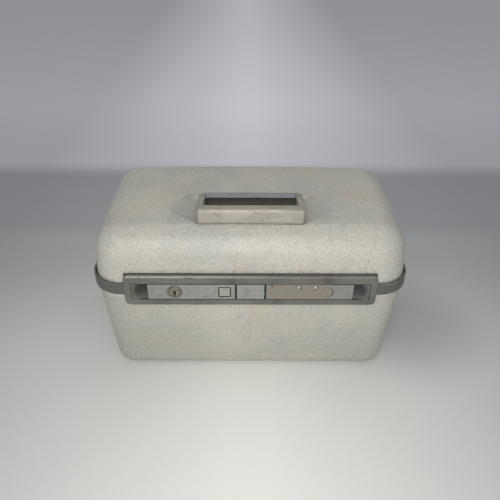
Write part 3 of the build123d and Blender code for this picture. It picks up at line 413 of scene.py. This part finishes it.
def frameFinish():
    look = frameLook
    f = Finish("greyEnamel")
    clouds = f.noise(**look["clouds"])
    streaks = f.noise(**look["streaks"])
    smudges = f.spots(look["smudges"], f.shaken(*look["smudgeWaver"]))
    chips = f.patches(**look["chips"]) * clouds.ramp(*look["cloudsChipped"])
    colour = f.veil(look["enamel"], clouds, look["cloudsShaded"], look["shade"])
    # painted shade: the band and the rest of the frame behind its front faces are darker
    colour = f.blend(f.y.along(*look["shadeBehindFront"]), colour, look["band"])
    colour = f.veil(colour, streaks, look["streaksWorn"], look["worn"])
    colour = f.blend(smudges * look["smudgeShare"], colour, look["dark"])
    colour = f.blend(chips, colour, look["worn"])

    ragged = f.z + f.noise(**look["ragged"]).swing(look["raggedBy"] * mm)
    lip = ragged.along(*look["lip"]) * f.y.along(*look["lipDepth"])
    lip = lip * (f.x.along(*look["lipLeft"]) + look["lipLeast"])
    edge = ragged.within(*look["bandEdge"]) * abs(f.x).along(*look["bandHalf"])
    edge = edge * f.patches(**look["edgeBreaks"])
    colour = f.blend(lip.atLeast(edge) * look["edgeShare"], colour, look["worn"])

    # painted shade in the finger scoops
    scoopShading = abs(f.x).within(*look["scoop"]) * f.y.along(*look["scoopDepth"])
    scoopShading = scoopShading * f.z.along(*look["scoopTop"]) * f.z.along(*look["scoopFoot"])
    least, more = look["scoopShade"]
    colour = f.blend(scoopShading * (clouds * more + least).atMost(1.0), colour, look["dark"])
    nicks = f.scratches(look["nicks"], look["nickWidth"], f.shaken(*look["nickWaver"]))
    colour = f.blend(nicks * look["nickShare"], colour, look["dark"])

    roughness = look["roughness"] + clouds.swing(look["cloudsRough"]) + streaks.ramp(
        *look["streaksRough"])
    normal = f.bump(f.noise(**look["fine"]), *look["fineBump"])
    normal = f.bump(streaks, *look["streakBump"], over=normal)
    return f.surface(colour, roughness, normal)


# Latch levers and centre plate: brushed lengthwise; a brownish film is left on the right lever
plateLook = {
    "metal": tint(164, 164, 161),
    "dull": tint(130, 130, 128),
    "film": tint(128, 123, 111),
    "filmPink": tint(134, 123, 110),
    "dark": tint(46, 46, 40),
    "brushed": dict(scale=1.0, detail=4.0, roughness=0.65, across=(30, 1500, 2400)),
    "brushedDull": (0.3, 0.75, 0.5),
    "lines": dict(scale=1.0, across=(9, 500, 560), shift=(4.1, 0, 0.3)),
    "linesDull": (0.5, 0.7, 0.45),
    "smudge": dict(scale=70.0, detail=4.0, roughness=0.6, warp=0.8),
    "smudgeDull": (0.46, 0.72, 0.6),
    "fine": dict(scale=600.0, detail=3.0, roughness=0.6),
    "fineDark": (0.58, 0.78, 0.25),
    "trimShade": (132.0, 132.5, 0.8),     # painted shade under the trim
    "roughness": 0.34,
    "brushedRough": 0.2,
    "smudgeRough": (0.45, 0.75, 0.14),
    "metallic": 0.8,
    "bump": (0.03, 0.5),
    # left lever: dirt round the lock and round the initial's frame
    "lock": (-80.0, 122.9),
    "lockDirt": (7.5, 8.0, 0.35),
    "initial": (-27.4, 122.9),
    "initialDirt": (9.0, 9.3, 0.3),
    "initialShare": 0.7,
    "leftDirt": 0.8,
    # right lever: the film, a ring pressed into it, a scrap of its glue and painted shade beside
    # the studs
    "filmSpan": (17.6, 83.4, 0.3),
    "filmEdge": dict(scale=340.0, detail=3.0),
    "raggedBy": 1.2,
    "filmPatches": dict(span=(0.35, 0.7), scale=110.0, detail=3.0),
    "filmShare": 0.96,
    "filmDark": (0.5, 0.75, 0.25),
    "ringPlace": (80.0, 122.9),
    "ring": (6.45, 7.35, 0.25),
    "ringShows": (83.8, 84.8),
    "gluePlace": (22.3, 131.0),
    "glue": (2.1, 1.05, 0.75),
    "studShades": [(51.5, 128.6), (68.7, 128.6)],
    "studShade": (3.0, 2.2),
    "rightDirtAndShade": 0.85,
    "filmRough": 0.24,
    "filmMetallic": 0.06,
    "filmHeight": 0.9,
}


def plateFinish(name, side):
    look = plateLook
    f = Finish(name)
    brushed = f.noise(**look["brushed"])
    smudge = f.noise(**look["smudge"])
    fine = f.noise(**look["fine"])
    colour = f.veil(look["metal"], brushed, look["brushedDull"], look["dull"])
    colour = f.veil(colour, f.noise(**look["lines"]), look["linesDull"], look["dull"])
    colour = f.veil(colour, smudge, look["smudgeDull"], look["dull"])
    colour = f.veil(colour, fine, look["fineDark"], look["dark"])
    # painted shade along the top of the plates, under the trim
    colour = f.blend(f.z.along(*look["trimShade"]), colour, look["dark"])
    roughness = look["roughness"] + brushed.swing(look["brushedRough"]) + smudge.ramp(
        *look["smudgeRough"])
    metallic = look["metallic"]
    height = brushed
    if side == "left":
        right, above = f.offsets(*look["initial"])
        darkening = abs(right).atLeast(abs(above)).within(*look["initialDirt"])
        darkening = f.apart(*look["lock"]).within(*look["lockDirt"]).atLeast(
            darkening * look["initialShare"])
        colour = f.blend(darkening * look["leftDirt"], colour, look["dark"])
    if side == "right":
        edge = f.noise(**look["filmEdge"]).swing(look["raggedBy"] * mm)
        film = (f.x + edge).within(*look["filmSpan"])
        brown = f.blend(f.patches(**look["filmPatches"]), look["film"], look["filmPink"])
        colour = f.blend(film * look["filmShare"], colour, brown)
        colour = f.blend(film * fine.ramp(*look["filmDark"]), colour, look["dark"])
        ring = f.apart(*look["ringPlace"]).within(*look["ring"]) * f.x.along(*look["ringShows"])
        glue = f.apart(*look["gluePlace"]) + fine.swing(look["raggedBy"] * mm)
        darkening = ring.atLeast(glue.along(*look["glue"]))
        # painted shade beside each stud
        for place in look["studShades"]:
            darkening = darkening.atLeast(f.apart(*place).along(*look["studShade"]))
        colour = f.blend(darkening * look["rightDirtAndShade"], colour, look["dark"])
        roughness = roughness + film * look["filmRough"]
        metallic = (1 - film) * metallic + look["filmMetallic"]
        height = brushed * (1 - film) + film * look["filmHeight"]
    return f.surface(colour, roughness, f.bump(height, *look["bump"]), Metallic=metallic)


# Plain metals: the looks that they share, and each one's own
metalLook = {
    "grain": dict(scale=1.0, detail=3.0, roughness=0.6),
    "brush": (300, 300, 300),
    "grainDull": (0.35, 0.75, 0.6),
    "spots": dict(scale=260.0, detail=4.0, roughness=0.7),
    "spotsDull": (0.54, 0.74, 0.6),
    "spotsRough": (0.5, 0.8, 0.18),
    "grainRough": 0.08,
    "metallic": 1.0,
    "bump": (0.02, 0.4),
}
metalLooks = {
    "brightMetal": {"metal": tint(226, 224, 216), "dull": tint(120, 112, 98),
                    "roughness": 0.14},
    "bezelMetal": {"metal": tint(132, 128, 118), "dull": tint(76, 71, 62),
                   "roughness": 0.24, "metallic": 0.85},
    "hingeMetal": {"metal": tint(178, 176, 168), "dull": tint(120, 114, 102),
                   "roughness": 0.4, "brush": (40, 900, 900)},
    "satinSteel": {"metal": tint(178, 178, 174), "dull": tint(128, 126, 120),
                   "roughness": 0.34},
}


def metalFinish(name):
    look = {**metalLook, **metalLooks[name]}
    f = Finish(name)
    grain = f.noise(**look["grain"], across=look["brush"])
    spots = f.noise(**look["spots"])
    colour = f.veil(look["metal"], grain, look["grainDull"], look["dull"])
    colour = f.veil(colour, spots, look["spotsDull"], look["dull"])
    roughness = look["roughness"] + spots.ramp(*look["spotsRough"]) + grain.swing(
        look["grainRough"])
    return f.surface(colour, roughness, f.bump(grain, *look["bump"]),
                     Metallic=look["metallic"])


# Lock face: tarnished, with grime round its keyhole and painted shade inside it
lockLook = {
    "metal": tint(146, 140, 126),
    "dull": tint(96, 88, 74),
    "dark": tint(24, 20, 15),
    "spots": dict(scale=300.0, detail=4.0, roughness=0.7),
    "spotsDull": (0.4, 0.7),
    "place": (-80.0, 122.9),
    "hole": (1.9, 1.3),               # the grime fades out between these radii of the hole,
    "slotHalf": (1.5, 0.9),           # and between these half widths of the slot below it
    "slotSpan": (118.6, 122.9, 0.3),
    "holeShare": 0.85,
    "inside": (-100.28, -100.1),
    "roughness": 0.32,
    "holeRough": 0.3,
    "metallic": 0.6,
    "bump": (0.05, 0.4),
}


def lockFinish():
    look = lockLook
    f = Finish("lockFace")
    spots = f.noise(**look["spots"])
    colour = f.veil(look["metal"], spots, look["spotsDull"], look["dull"])
    right = f.offsets(*look["place"])[0]
    slot = abs(right).along(*look["slotHalf"]) * f.z.within(*look["slotSpan"])
    hole = f.apart(*look["place"]).along(*look["hole"]).atLeast(slot)
    # grime round the keyhole, and painted shade inside it
    dark = (hole * look["holeShare"]).atLeast(f.y.along(*look["inside"]))
    colour = f.blend(dark, colour, look["dark"])
    return f.surface(colour, look["roughness"] + hole * look["holeRough"],
                     f.bump(spots, *look["bump"]), Metallic=look["metallic"])


# Initial frame and its bare tile: pale metal, with a dark line pressed along the inner edge
initialLook = {
    "metal": tint(164, 163, 155),
    "dull": tint(132, 131, 123),
    "line": tint(40, 34, 26),
    "clouds": dict(scale=180.0, detail=3.0),
    "cloudsDull": (0.4, 0.7, 0.6),
    "place": (-27.4, 122.9),
    "inner": (5.5, 6.9, 0.15),
    "corner": 5.6,                # how much the line cuts across the corners
    "raggedBy": 0.3,
    "lineShare": 0.92,
    "lineDepth": 2.0,
    "roughness": 0.36,
    "lineRough": 0.3,
    "metallic": 0.55,
    "bump": (0.1, 0.5),
}


def initialFinish():
    look = initialLook
    f = Finish("initialRim")
    clouds = f.noise(**look["clouds"])
    colour = f.veil(look["metal"], clouds, look["cloudsDull"], look["dull"])
    right, above = (abs(offset) for offset in f.offsets(*look["place"]))
    away = right.atLeast(above).atLeast(right + above - look["corner"] * mm)
    line = (away + clouds.swing(look["raggedBy"] * mm)).within(*look["inner"])
    colour = f.blend(line * look["lineShare"], colour, look["line"])
    normal = f.bump(clouds - line * look["lineDepth"], *look["bump"])
    return f.surface(colour, look["roughness"] + line * look["lineRough"], normal,
                     Metallic=look["metallic"])


# Handle: smooth cream plastic, rubbed along its upper edge with a painted highlight there, grimy
# in the hand's grip and partly darkened with painted shade on its upper side
handleLook = {
    "cream": tint(170, 166, 154),
    "dull": tint(148, 144, 132),
    "worn": tint(204, 192, 172),
    "grime": tint(118, 108, 94),
    "brown": tint(142, 128, 112),
    "rose": tint(176, 134, 118),
    "clouds": dict(scale=55.0, detail=4.0, roughness=0.6, warp=0.4),
    "cloudsDull": (0.38, 0.68, 0.7),
    "smear": dict(scale=1.0, detail=3.0, roughness=0.6, across=(55, 200, 210),
                  shift=(1.3, 0, 0.7)),
    "smearGrimy": (0.52, 0.74, 0.4),
    "spots": [(-33.2, -67.7, 196.6, 2.4), (5.6, -66.9, 201.0, 2.6), (-36.0, -67.7, 199.0, 2.0),
              (18.0, -67.6, 195.0, 3.0)],
    "spotWaver": (1.2, 220.0),
    "spotBreaks": dict(span=(0.3, 0.6, 0.5), scale=300.0, detail=3.0),
    # browner ends of the arms, and the grip's upper side by its distance below the top, which is
    # brown grime and also painted shade
    "armHalf": (49, 52),
    "armSpan": (-30, -12),
    "upperSide": (1.6, 0.4, 0.6),
    "brownShare": 0.55,
    # rubbed edge with a painted highlight along it: its distances below the grip's top and behind
    # its front, and its span along X
    "wornLitFall": (0.7, 1.6, 0.5),
    "wornLitDepth": (3.2, 2.0),
    "wornLitSpan": (-42.0, 34.0, 6.0),
    "rubs": dict(scale=1.0, detail=3.0, roughness=0.6, across=(75, 420, 420), shift=(7.7, 2, 1)),
    "rubsWornLit": (0.42, 0.56),
    "rubsRoseLit": (0.47, 0.38, 0.6),
    "fine": dict(scale=1300.0, detail=3.0),
    "fineGrimy": (0.55, 0.8, 0.2),
    "roughness": 0.4,
    "cloudsRough": 0.25,
    "rubbedRough": 0.08,
    "fineBump": (0.05, 0.35),
    "smearBump": (0.06, 0.3),
}


def handleFinish():
    look = handleLook
    f = Finish("wornHandle")
    low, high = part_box("handle_grip")
    below, behind = high.z - f.z, f.y - low.y
    clouds = f.noise(**look["clouds"])
    smear = f.noise(**look["smear"])
    fine = f.noise(**look["fine"])
    spots = f.spots(look["spots"], f.shaken(*look["spotWaver"])) * f.patches(**look["spotBreaks"])
    colour = f.veil(look["cream"], clouds, look["cloudsDull"], look["dull"])
    colour = f.veil(colour, smear, look["smearGrimy"], look["grime"])
    colour = f.blend(spots, colour, look["grime"])
    arms = abs(f.x).along(*look["armHalf"]) * f.y.along(*look["armSpan"])
    # the grip's upper side is darkened partly as grime and partly as painted shade
    brown = arms.atLeast(below.along(*look["upperSide"])) * look["brownShare"]
    colour = f.blend(brown, colour, look["brown"])
    # the rubbed upper edge, paler as wear and as a painted highlight
    edge = below.within(*look["wornLitFall"]) * behind.along(*look["wornLitDepth"])
    edge = edge * f.x.within(*look["wornLitSpan"])
    rubs = f.noise(**look["rubs"])
    colour = f.blend(edge * rubs.ramp(*look["rubsWornLit"]), colour, look["worn"])
    colour = f.blend(edge * rubs.ramp(*look["rubsRoseLit"]), colour, look["rose"])
    colour = f.veil(colour, fine, look["fineGrimy"], look["grime"])
    roughness = look["roughness"] + clouds.swing(look["cloudsRough"]) - edge * look["rubbedRough"]
    normal = f.bump(fine, *look["fineBump"])
    normal = f.bump(smear, *look["smearBump"], over=normal)
    return f.surface(colour, roughness, normal)


# Bracket under the strip: dark satin paint, paler and dustier low down
bracketLook = {
    "paint": tint(66, 70, 64),
    "dust": tint(112, 113, 102),
    "clouds": dict(scale=50.0, detail=4.0, roughness=0.6),
    "cloudsDusty": (0.45, 0.5),
    "levels": (190.0, 182.0),
    "dustShare": 0.8,
    "fibres": dict(scale=700.0, detail=3.0),
    "fibresDusty": (0.6, 0.75, 0.4),
    "roughness": 0.5,
    "dustRough": 0.2,
    "bump": (0.05, 0.4),
}


def bracketFinish():
    look = bracketLook
    f = Finish("bracketPaint")
    least, more = look["cloudsDusty"]
    dust = f.z.along(*look["levels"]) * (f.noise(**look["clouds"]) * more + least)
    fibres = f.noise(**look["fibres"])
    colour = f.blend(dust * look["dustShare"], look["paint"], look["dust"])
    colour = f.veil(colour, fibres, look["fibresDusty"], look["dust"])
    return f.surface(colour, look["roughness"] + dust * look["dustRough"],
                     f.bump(fibres, *look["bump"]))


# Strip over the handle's bracket: brushed metal with painted shade along its front edge
stripLook = {
    "metal": tint(172, 176, 180),
    "dull": tint(128, 131, 134),
    "dark": tint(48, 48, 44),
    "grain": dict(scale=1.0, detail=3.0, roughness=0.6, across=(30, 900, 900)),
    "grainDull": (0.35, 0.75, 0.6),
    "spots": dict(scale=200.0, detail=4.0, roughness=0.7),
    "spotsDull": (0.5, 0.74, 0.7),
    "frontEdgeShade": (-18.0, -18.5),
    "edgeShare": 0.9,
    "roughness": 0.36,
    "edgeRough": 0.3,
    "metallic": 0.6,
    "bump": (0.02, 0.4),
}


def stripFinish():
    look = stripLook
    f = Finish("stripMetal")
    grain = f.noise(**look["grain"])
    # painted shade along the strip's front edge
    edge = f.y.along(*look["frontEdgeShade"])
    colour = f.veil(look["metal"], grain, look["grainDull"], look["dull"])
    colour = f.veil(colour, f.noise(**look["spots"]), look["spotsDull"], look["dull"])
    colour = f.blend(edge * look["edgeShare"], colour, look["dark"])
    return f.surface(colour, look["roughness"] + edge * look["edgeRough"],
                     f.bump(grain, *look["bump"]), Metallic=look["metallic"])


# Plain paint and plastic: the look that they share, and each one's own
paintLook = {
    "clouds": dict(scale=40.0, detail=4.0, roughness=0.6),
    "cloudsWorn": (0.4, 0.75, 0.5),
    "chips": dict(span=(0.68, 0.75, 0.35), scale=500.0),
    "cloudsRough": 0.2,
    "fine": dict(scale=1500.0),
    "bump": (0.05, 0.4),
}
paintLooks = {
    "footPlastic": {"paint": tint(52, 52, 50), "worn": tint(84, 82, 78), "roughness": 0.5},
    "mirrorRim": {"paint": tint(196, 188, 170), "worn": tint(168, 158, 140),
                  "roughness": 0.35},
}


def paintFinish(name):
    look = {**paintLook, **paintLooks[name]}
    f = Finish(name)
    clouds = f.noise(**look["clouds"])
    colour = f.veil(look["paint"], clouds, look["cloudsWorn"], look["worn"])
    colour = f.blend(f.patches(**look["chips"]), colour, look["worn"])
    return f.surface(colour, look["roughness"] + clouds.swing(look["cloudsRough"]),
                     f.bump(f.noise(**look["fine"]), *look["bump"]))


# Lining cloth: satin weave with a watered pattern in warm grey
clothLook = {
    "thread": tint(182, 168, 154),
    "shade": tint(148, 133, 121),
    "sheen": tint(204, 193, 180),
    "threads": 2600.0,            # per metre
    "slant": 0.3,
    "swirl": dict(scale=14.0, roughness=0.4),
    "ripple": dict(scale=50.0),
    "phases": (46.0, 2.0),        # how far the swirl and the ripple turn the watered pattern
    "crests": (0.25, 0.9),
    "crestShare": 0.5,
    "weaveShare": 0.4,
    "clouds": dict(scale=30.0, detail=4.0, roughness=0.6),
    "cloudsShaded": (0.45, 0.75, 0.35),
    "roughness": 0.55,
    "crestRough": 0.14,
    "cloudsRough": 0.15,
    "bump": (0.12, 0.5),
    "gloss": {"Sheen Weight": 0.2, "Sheen Roughness": 0.4},
}


def clothFinish():
    look = clothLook
    f = Finish("liningCloth")
    turn = math.pi * look["threads"]
    warp = ((f.x + f.y * look["slant"]) * turn).wave()
    weft = ((f.z + f.y) * turn).wave()
    weave = warp * weft
    swirl, ripple = look["phases"]
    phase = f.noise(**look["swirl"]) * swirl + f.noise(**look["ripple"]) * ripple
    crests = phase.wave().ramp(*look["crests"])
    clouds = f.noise(**look["clouds"])
    colour = f.blend(crests * look["crestShare"], look["thread"], look["sheen"])
    colour = f.blend(weave * look["weaveShare"], colour, look["shade"])
    colour = f.veil(colour, clouds, look["cloudsShaded"], look["shade"])
    roughness = look["roughness"] - crests * look["crestRough"] + clouds.swing(
        look["cloudsRough"])
    return f.surface(colour, roughness, f.bump(weave, *look["bump"]), **look["gloss"])


# Mirror: silvered glass, hazy in places and foxed towards its rim
mirrorLook = {
    "silver": tint(226, 230, 230),
    "foxing": tint(120, 104, 84),
    "rim": (6, 0),                # distances from the edge
    "foxed": dict(scale=500.0, detail=3.0),
    "foxedAbove": (0.42, 0.6),
    "haze": dict(span=(0.55, 0.8, 0.05), scale=40.0, detail=5.0, roughness=0.7),
    "roughness": 0.03,
    "foxedRough": 0.3,
    "metallic": 1.0,
}


def mirrorFinish():
    look = mirrorLook
    f = Finish("silveredGlass")
    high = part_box("mirror")[1]
    fromEdge = (high.x - abs(f.x)).atMost(high.y - abs(f.y))
    foxed = f.noise(**look["foxed"]) * fromEdge.along(*look["rim"])
    foxed = foxed.ramp(*look["foxedAbove"])
    colour = f.blend(foxed, look["silver"], look["foxing"])
    roughness = f.patches(**look["haze"]) + look["roughness"] + foxed * look["foxedRough"]
    return f.surface(colour, roughness, Metallic=look["metallic"])


# Tray and its rests: moulded plastic, clouded and scuffed
trayLook = {
    "plastic": tint(198, 188, 168),
    "dull": tint(178, 166, 144),
    "scuffed": tint(150, 138, 120),
    "clouds": dict(scale=20.0, detail=3.0, roughness=0.6),
    "cloudsDull": (0.4, 0.7, 0.4),
    "scuffs": dict(scale=1.0, detail=4.0, roughness=0.7, across=(60, 500, 60)),
    "scuffsDark": (0.6, 0.75, 0.25),
    "scuffsRough": (0.5, 0.8, 0.2),
    "roughness": 0.38,
    "fine": dict(scale=1100.0),
    "bump": (0.06, 0.4),
}


def trayFinish():
    look = trayLook
    f = Finish("trayPlastic")
    scuffs = f.noise(**look["scuffs"])
    colour = f.veil(look["plastic"], f.noise(**look["clouds"]), look["cloudsDull"], look["dull"])
    colour = f.veil(colour, scuffs, look["scuffsDark"], look["scuffed"])
    return f.surface(colour, look["roughness"] + scuffs.ramp(*look["scuffsRough"]),
                     f.bump(f.noise(**look["fine"]), *look["bump"]))


def paintNode(name, material):
    node = nodes[name]
    if not node.material_slots:
        node.data.materials.append(material)
    for slot in node.material_slots:
        slot.material = material


cloth = clothFinish()
finishes = {
    shellFinish(): ["lid_shell", "base_shell"],
    frameFinish(): ["lid_frame", "base_frame", "latch_housing"],
    plateFinish("brushedPlate", "left"): ["left_latch_lever"],
    plateFinish("mottledPlate", "centre"): ["centre_plate"],
    plateFinish("filmedPlate", "right"): ["right_latch_lever"],
    metalFinish("brightMetal"): ["latch_studs"],
    metalFinish("bezelMetal"): ["lock_bezel"],
    lockFinish(): ["lock_cylinder"],
    initialFinish(): ["initial_frame", "initial_tile"],
    handleFinish(): ["handle_grip"],
    bracketFinish(): ["handle_bracket"],
    stripFinish(): ["handle_strip"],
    metalFinish("hingeMetal"):
        ["hinge_lid_leaves", "hinge_base_leaves", "hinge_lid_rivets", "hinge_base_rivets"],
    metalFinish("satinSteel"):
        ["hinge_pins", "housing_rivets", "latch_pins", "latch_springs", "latch_keepers",
         "keeper_rivets", "lock_cam", "handle_pins", "handle_screws", "lid_stay",
         "stay_pivot", "stay_stud"],
    paintFinish("footPlastic"): ["feet"],
    cloth: ["lid_lining", "lid_panel", "base_lining"],
    mirrorFinish(): ["mirror"],
    paintFinish("mirrorRim"): ["mirror_frame"],
    trayFinish(): ["tray", "tray_rests"],
}
for material, names in finishes.items():
    for name in names:
        paintNode(name, material)
print("finishes assigned:", len(finishes))


# Gathered pocket on the rear wall, with its elastic hem
pocketSettings = {
    "seed": 7,
    "waves": 4,
    "pleats": 31,
    "pleatShares": (0.8, 0.4),    # of the pleats that a wave has: at least, and by chance more
    "leastWeight": 0.5,
    "columns": 420,
    "rows": 26,
    "wallLean": 4.7,              # degrees
    "wallGap": 0.9 * mm,
    "sideGap": 0.8 * mm,
    "footGap": 0.6 * mm,
    "sideCurve": 9,
    "belly": 0.3,                 # height of the fullest line, as a share
    "bellyFall": (1.6, 0.45),     # power and amount of the fall above it
    "depth": (5.5 * mm, 8.0 * mm),
    "pleatDepth": (0.35 * mm, 1.5 * mm),
    "pleatPower": 1.5,
    "topWave": 0.5 * mm,
    "topPhase": (1.3, 0.2),
    "clothThickness": 0.7 * mm,
    "hemRows": 16,
    "hemHeight": 7.0 * mm,
    "hemDepth": 2.2 * mm,
    "hemShare": 0.94,
    "ruffle": 0.28,
    "ruffleRate": 1.9,
    "weldWithin": 1e-6,
    "measureSteps": (600, 60),    # from the middle to a side, and from foot to top
}


def gatheredSheet(name, columns, rows, shape):
    deselectAll()
    bpy.ops.mesh.primitive_grid_add(x_subdivisions=columns, y_subdivisions=rows, size=2)
    piece = bpy.context.object
    piece.name = name
    for vertex in piece.data.vertices:
        vertex.co = shape(vertex.co.x, (vertex.co.y + 1) / 2)
    return piece


def pathLength(points):
    return sum((end - start).length for start, end in zip(points, points[1:]))


def buildPocket():
    s = pocketSettings
    low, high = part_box("rear_pocket")
    dice = random.Random(s["seed"])
    fewest, more = s["pleatShares"]
    waves = [(s["pleats"] * (fewest + more * dice.random()), dice.random() * 2 * math.pi,
              s["leastWeight"] + dice.random()) for _ in range(s["waves"])]
    half = (high.x - low.x) / 2
    tall = high.z - low.z
    lean = tall * math.tan(math.radians(s["wallLean"]))

    def gather(u):
        # uneven pleats: several close frequencies added up, from -1 to 1
        total = sum(weight * math.sin(math.pi * u * rate + phase) for rate, phase, weight in waves)
        return total / sum(weight for _, _, weight in waves)

    def shape(u, v):
        # the cloth: u from -1 to 1 along X, v from 0 at its foot to 1 at its top
        side = max(0.0, 1 - abs(u) ** s["sideCurve"]) ** 0.5
        if v < s["belly"]:
            full = math.sin(math.pi * (v / s["belly"]) / 2)
        else:
            power, fall = s["bellyFall"]
            full = 1 - ((v - s["belly"]) / (1 - s["belly"])) ** power * fall
        least, more = s["depth"]
        depth = (least + more * full) * side
        least, more = s["pleatDepth"]
        pleat = gather(u) * side * (least + more * v ** s["pleatPower"])
        rate, phase = s["topPhase"]
        x = (low.x + high.x) / 2 + u * (half - s["sideGap"])
        wall = high.y - lean * (1 - v)
        z = low.z + s["footGap"] + v * (tall - 2 * s["footGap"])
        z -= s["topWave"] * gather(u * rate + phase) * v
        return Vector((x, wall - s["wallGap"] - depth - pleat, z))

    def rolled(u, v):
        # the hem: a flattened tube round the elastic, ruffled like the cloth that it gathers
        top = high.z - s["hemHeight"] / 2
        angle = v * 2 * math.pi
        edge = shape(u, (top - low.z) / tall)
        ruffle = 1 + s["ruffle"] * gather(u * s["ruffleRate"])
        return Vector((edge.x, edge.y - math.sin(angle) * s["hemDepth"] / 2 * ruffle,
                       top + math.cos(angle) * s["hemHeight"] / 2 * s["hemShare"]))

    pocket = gatheredSheet("pocketCloth", s["columns"], s["rows"], shape)
    solid = pocket.modifiers.new("thickness", "SOLIDIFY")
    solid.thickness = s["clothThickness"]
    solid.offset = 0
    bpy.ops.object.modifier_apply(modifier=solid.name)
    bpy.ops.object.shade_smooth()
    pocket.data.materials.append(cloth)

    hem = gatheredSheet("pocketHem", s["columns"], s["hemRows"], rolled)
    bpy.ops.object.mode_set(mode="EDIT")
    bpy.ops.mesh.select_all(action="SELECT")
    bpy.ops.mesh.remove_doubles(threshold=s["weldWithin"])
    bpy.ops.mesh.select_all(action="DESELECT")
    bpy.ops.mesh.select_non_manifold()
    bpy.ops.mesh.fill_holes(sides=0)
    bpy.ops.mesh.select_all(action="SELECT")
    bpy.ops.mesh.normals_make_consistent(inside=False)
    bpy.ops.object.mode_set(mode="OBJECT")
    bpy.ops.object.shade_smooth()
    hem.data.materials.append(cloth)

    across, upward = s["measureSteps"]
    width = pathLength([shape(i / across - 1, 0.5) for i in range(2 * across + 1)])
    length = pathLength([shape(0, i / upward) for i in range(upward + 1)])
    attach(pocket, "base")
    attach(hem, "base")
    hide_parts("rear_pocket")
    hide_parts("pocket_elastic")
    print("pocket cloth cut at", round(width, 3), "by", round(length, 3), "m")


buildPocket()


# Pale floor that turns grey beside and behind the case, partly as its painted shadow, with painted
# shade at its sides and a painted shadow right of the case, and lighter again far behind it;
# metres
stageLook = {
    "size": 9.0,
    "front": tint(246, 246, 240),
    "near": tint(198, 199, 196),
    "behind": tint(178, 179, 183),
    "far": tint(200, 201, 208),
    "glow": tint(108, 109, 110),
    "farGlow": tint(132, 133, 135),
    "side": tint(149, 150, 153),
    "unlit": tint(0, 0, 0),
    "fade": (-0.1, 0.16),
    "turn": (0.19, 0.24),
    "rise": (0.42, 0.5),
    "distance": (0.45, 0.9),
    "edges": (0.02, 0.42),
    "edgeShare": 0.8,
    "edgeUnlit": 0.37,
    "shadePlace": (0.215, -0.01, 0),      # a painted shadow to the right of the case
    "shade": (0.13, 0.02, 0.6),
    "roughness": 0.6,
    "clouds": dict(scale=12.0),
    "cloudsRough": 0.1,
    "emission": 1.0,
}


def buildStage():
    s = stageLook
    deselectAll()
    bpy.ops.mesh.primitive_plane_add(size=s["size"])
    floor = bpy.context.object
    floor.name = "studioFloor"
    f = Finish("paleFloor")
    rise = f.y.ramp(*s["rise"])
    start, end = s["edges"]
    edges = ((abs(f.x) - start) / (end - start)).atLeast(0.0).atMost(1.0)
    paintedShadow = f.vector("DISTANCE", f.place, s["shadePlace"], "Value")
    # grey near and behind the case, partly a painted shadow of the case
    colour = f.veil(s["front"], f.y, s["fade"], s["near"])
    colour = f.veil(colour, f.y, s["turn"], s["behind"])
    colour = f.blend(rise, colour, s["far"])
    # painted shade at the sides, and a painted shadow to the right of the case
    colour = f.blend(edges * s["edgeShare"], colour, s["side"])
    colour = f.veil(colour, paintedShadow, s["shade"], s["side"])
    glow = f.veil(s["glow"], f.y, s["distance"], s["farGlow"])
    glow = f.blend(rise * (1 - edges * s["edgeUnlit"]), s["unlit"], glow)
    roughness = f.noise(**s["clouds"]).swing(s["cloudsRough"]) + s["roughness"]
    floor.data.materials.append(f.surface(
        colour, roughness, **{"Emission Color": glow, "Emission Strength": s["emission"]}))


buildStage()

lampSettings = {
    "keyLamp": {"place": (-0.14, -1.1, 1.0), "size": 0.8, "power": 8.4},
    "lowLamp": {"place": (0.0, -1.3, 0.34), "size": 0.6, "power": 5.0},
    "fillLamp": {"place": (0.1, 0.5, 1.5), "size": 1.2, "power": 4.6},
}
lampAim = (0, 0, 0.1)
roomLight = {"colour": (0.96, 0.98, 1.0, 1), "strength": 0.3}


def buildLights():
    for name, s in lampSettings.items():
        lamp = bpy.data.lights.new(name, "AREA")
        lamp.energy = s["power"]
        lamp.size = s["size"]
        holder = bpy.data.objects.new(name, lamp)
        holder.visible_camera = False
        bpy.context.scene.collection.objects.link(holder)
        place = Vector(s["place"])
        toCase = Vector(lampAim) - place
        holder.location = place
        holder.rotation_euler = toCase.to_track_quat("-Z", "Y").to_euler()
    world = bpy.data.worlds.new("softRoom")
    bpy.context.scene.world = world
    world.use_nodes = True
    background = world.node_tree.nodes["Background"]
    background.inputs["Color"].default_value = roomLight["colour"]
    background.inputs["Strength"].default_value = roomLight["strength"]


buildLights()

cameraSettings = {
    "place": (-5.3 * mm, -532.8 * mm, 468.4 * mm),
    "pitch": 34.0,                # degrees, like yaw and roll
    "yaw": 0.5,
    "roll": 0.42,
    "lens": 37.72,
    "shift": 0.001,
    "nearest": 0.01,
}


def buildCamera():
    s = cameraSettings
    data = bpy.data.cameras.new("photoCamera")
    data.lens = s["lens"]
    data.shift_x = s["shift"]
    data.clip_start = s["nearest"]
    camera = bpy.data.objects.new("photoCamera", data)
    bpy.context.scene.collection.objects.link(camera)
    pitch, yaw, roll = (math.radians(s[key]) for key in ("pitch", "yaw", "roll"))
    ahead = Vector((math.sin(yaw) * math.cos(pitch), math.cos(yaw) * math.cos(pitch),
                    -math.sin(pitch)))
    level = Vector((math.cos(yaw), -math.sin(yaw), 0))
    upward = level.cross(ahead)
    right = level * math.cos(roll) + upward * math.sin(roll)
    top = upward * math.cos(roll) - level * math.sin(roll)
    camera.matrix_world = Matrix.Translation(s["place"]) @ Matrix(
        (right, top, -ahead)).transposed().to_4x4()
    bpy.context.scene.camera = camera


buildCamera()
bpy.context.scene.view_settings.view_transform = "Standard"
print("stage, lights and camera set")
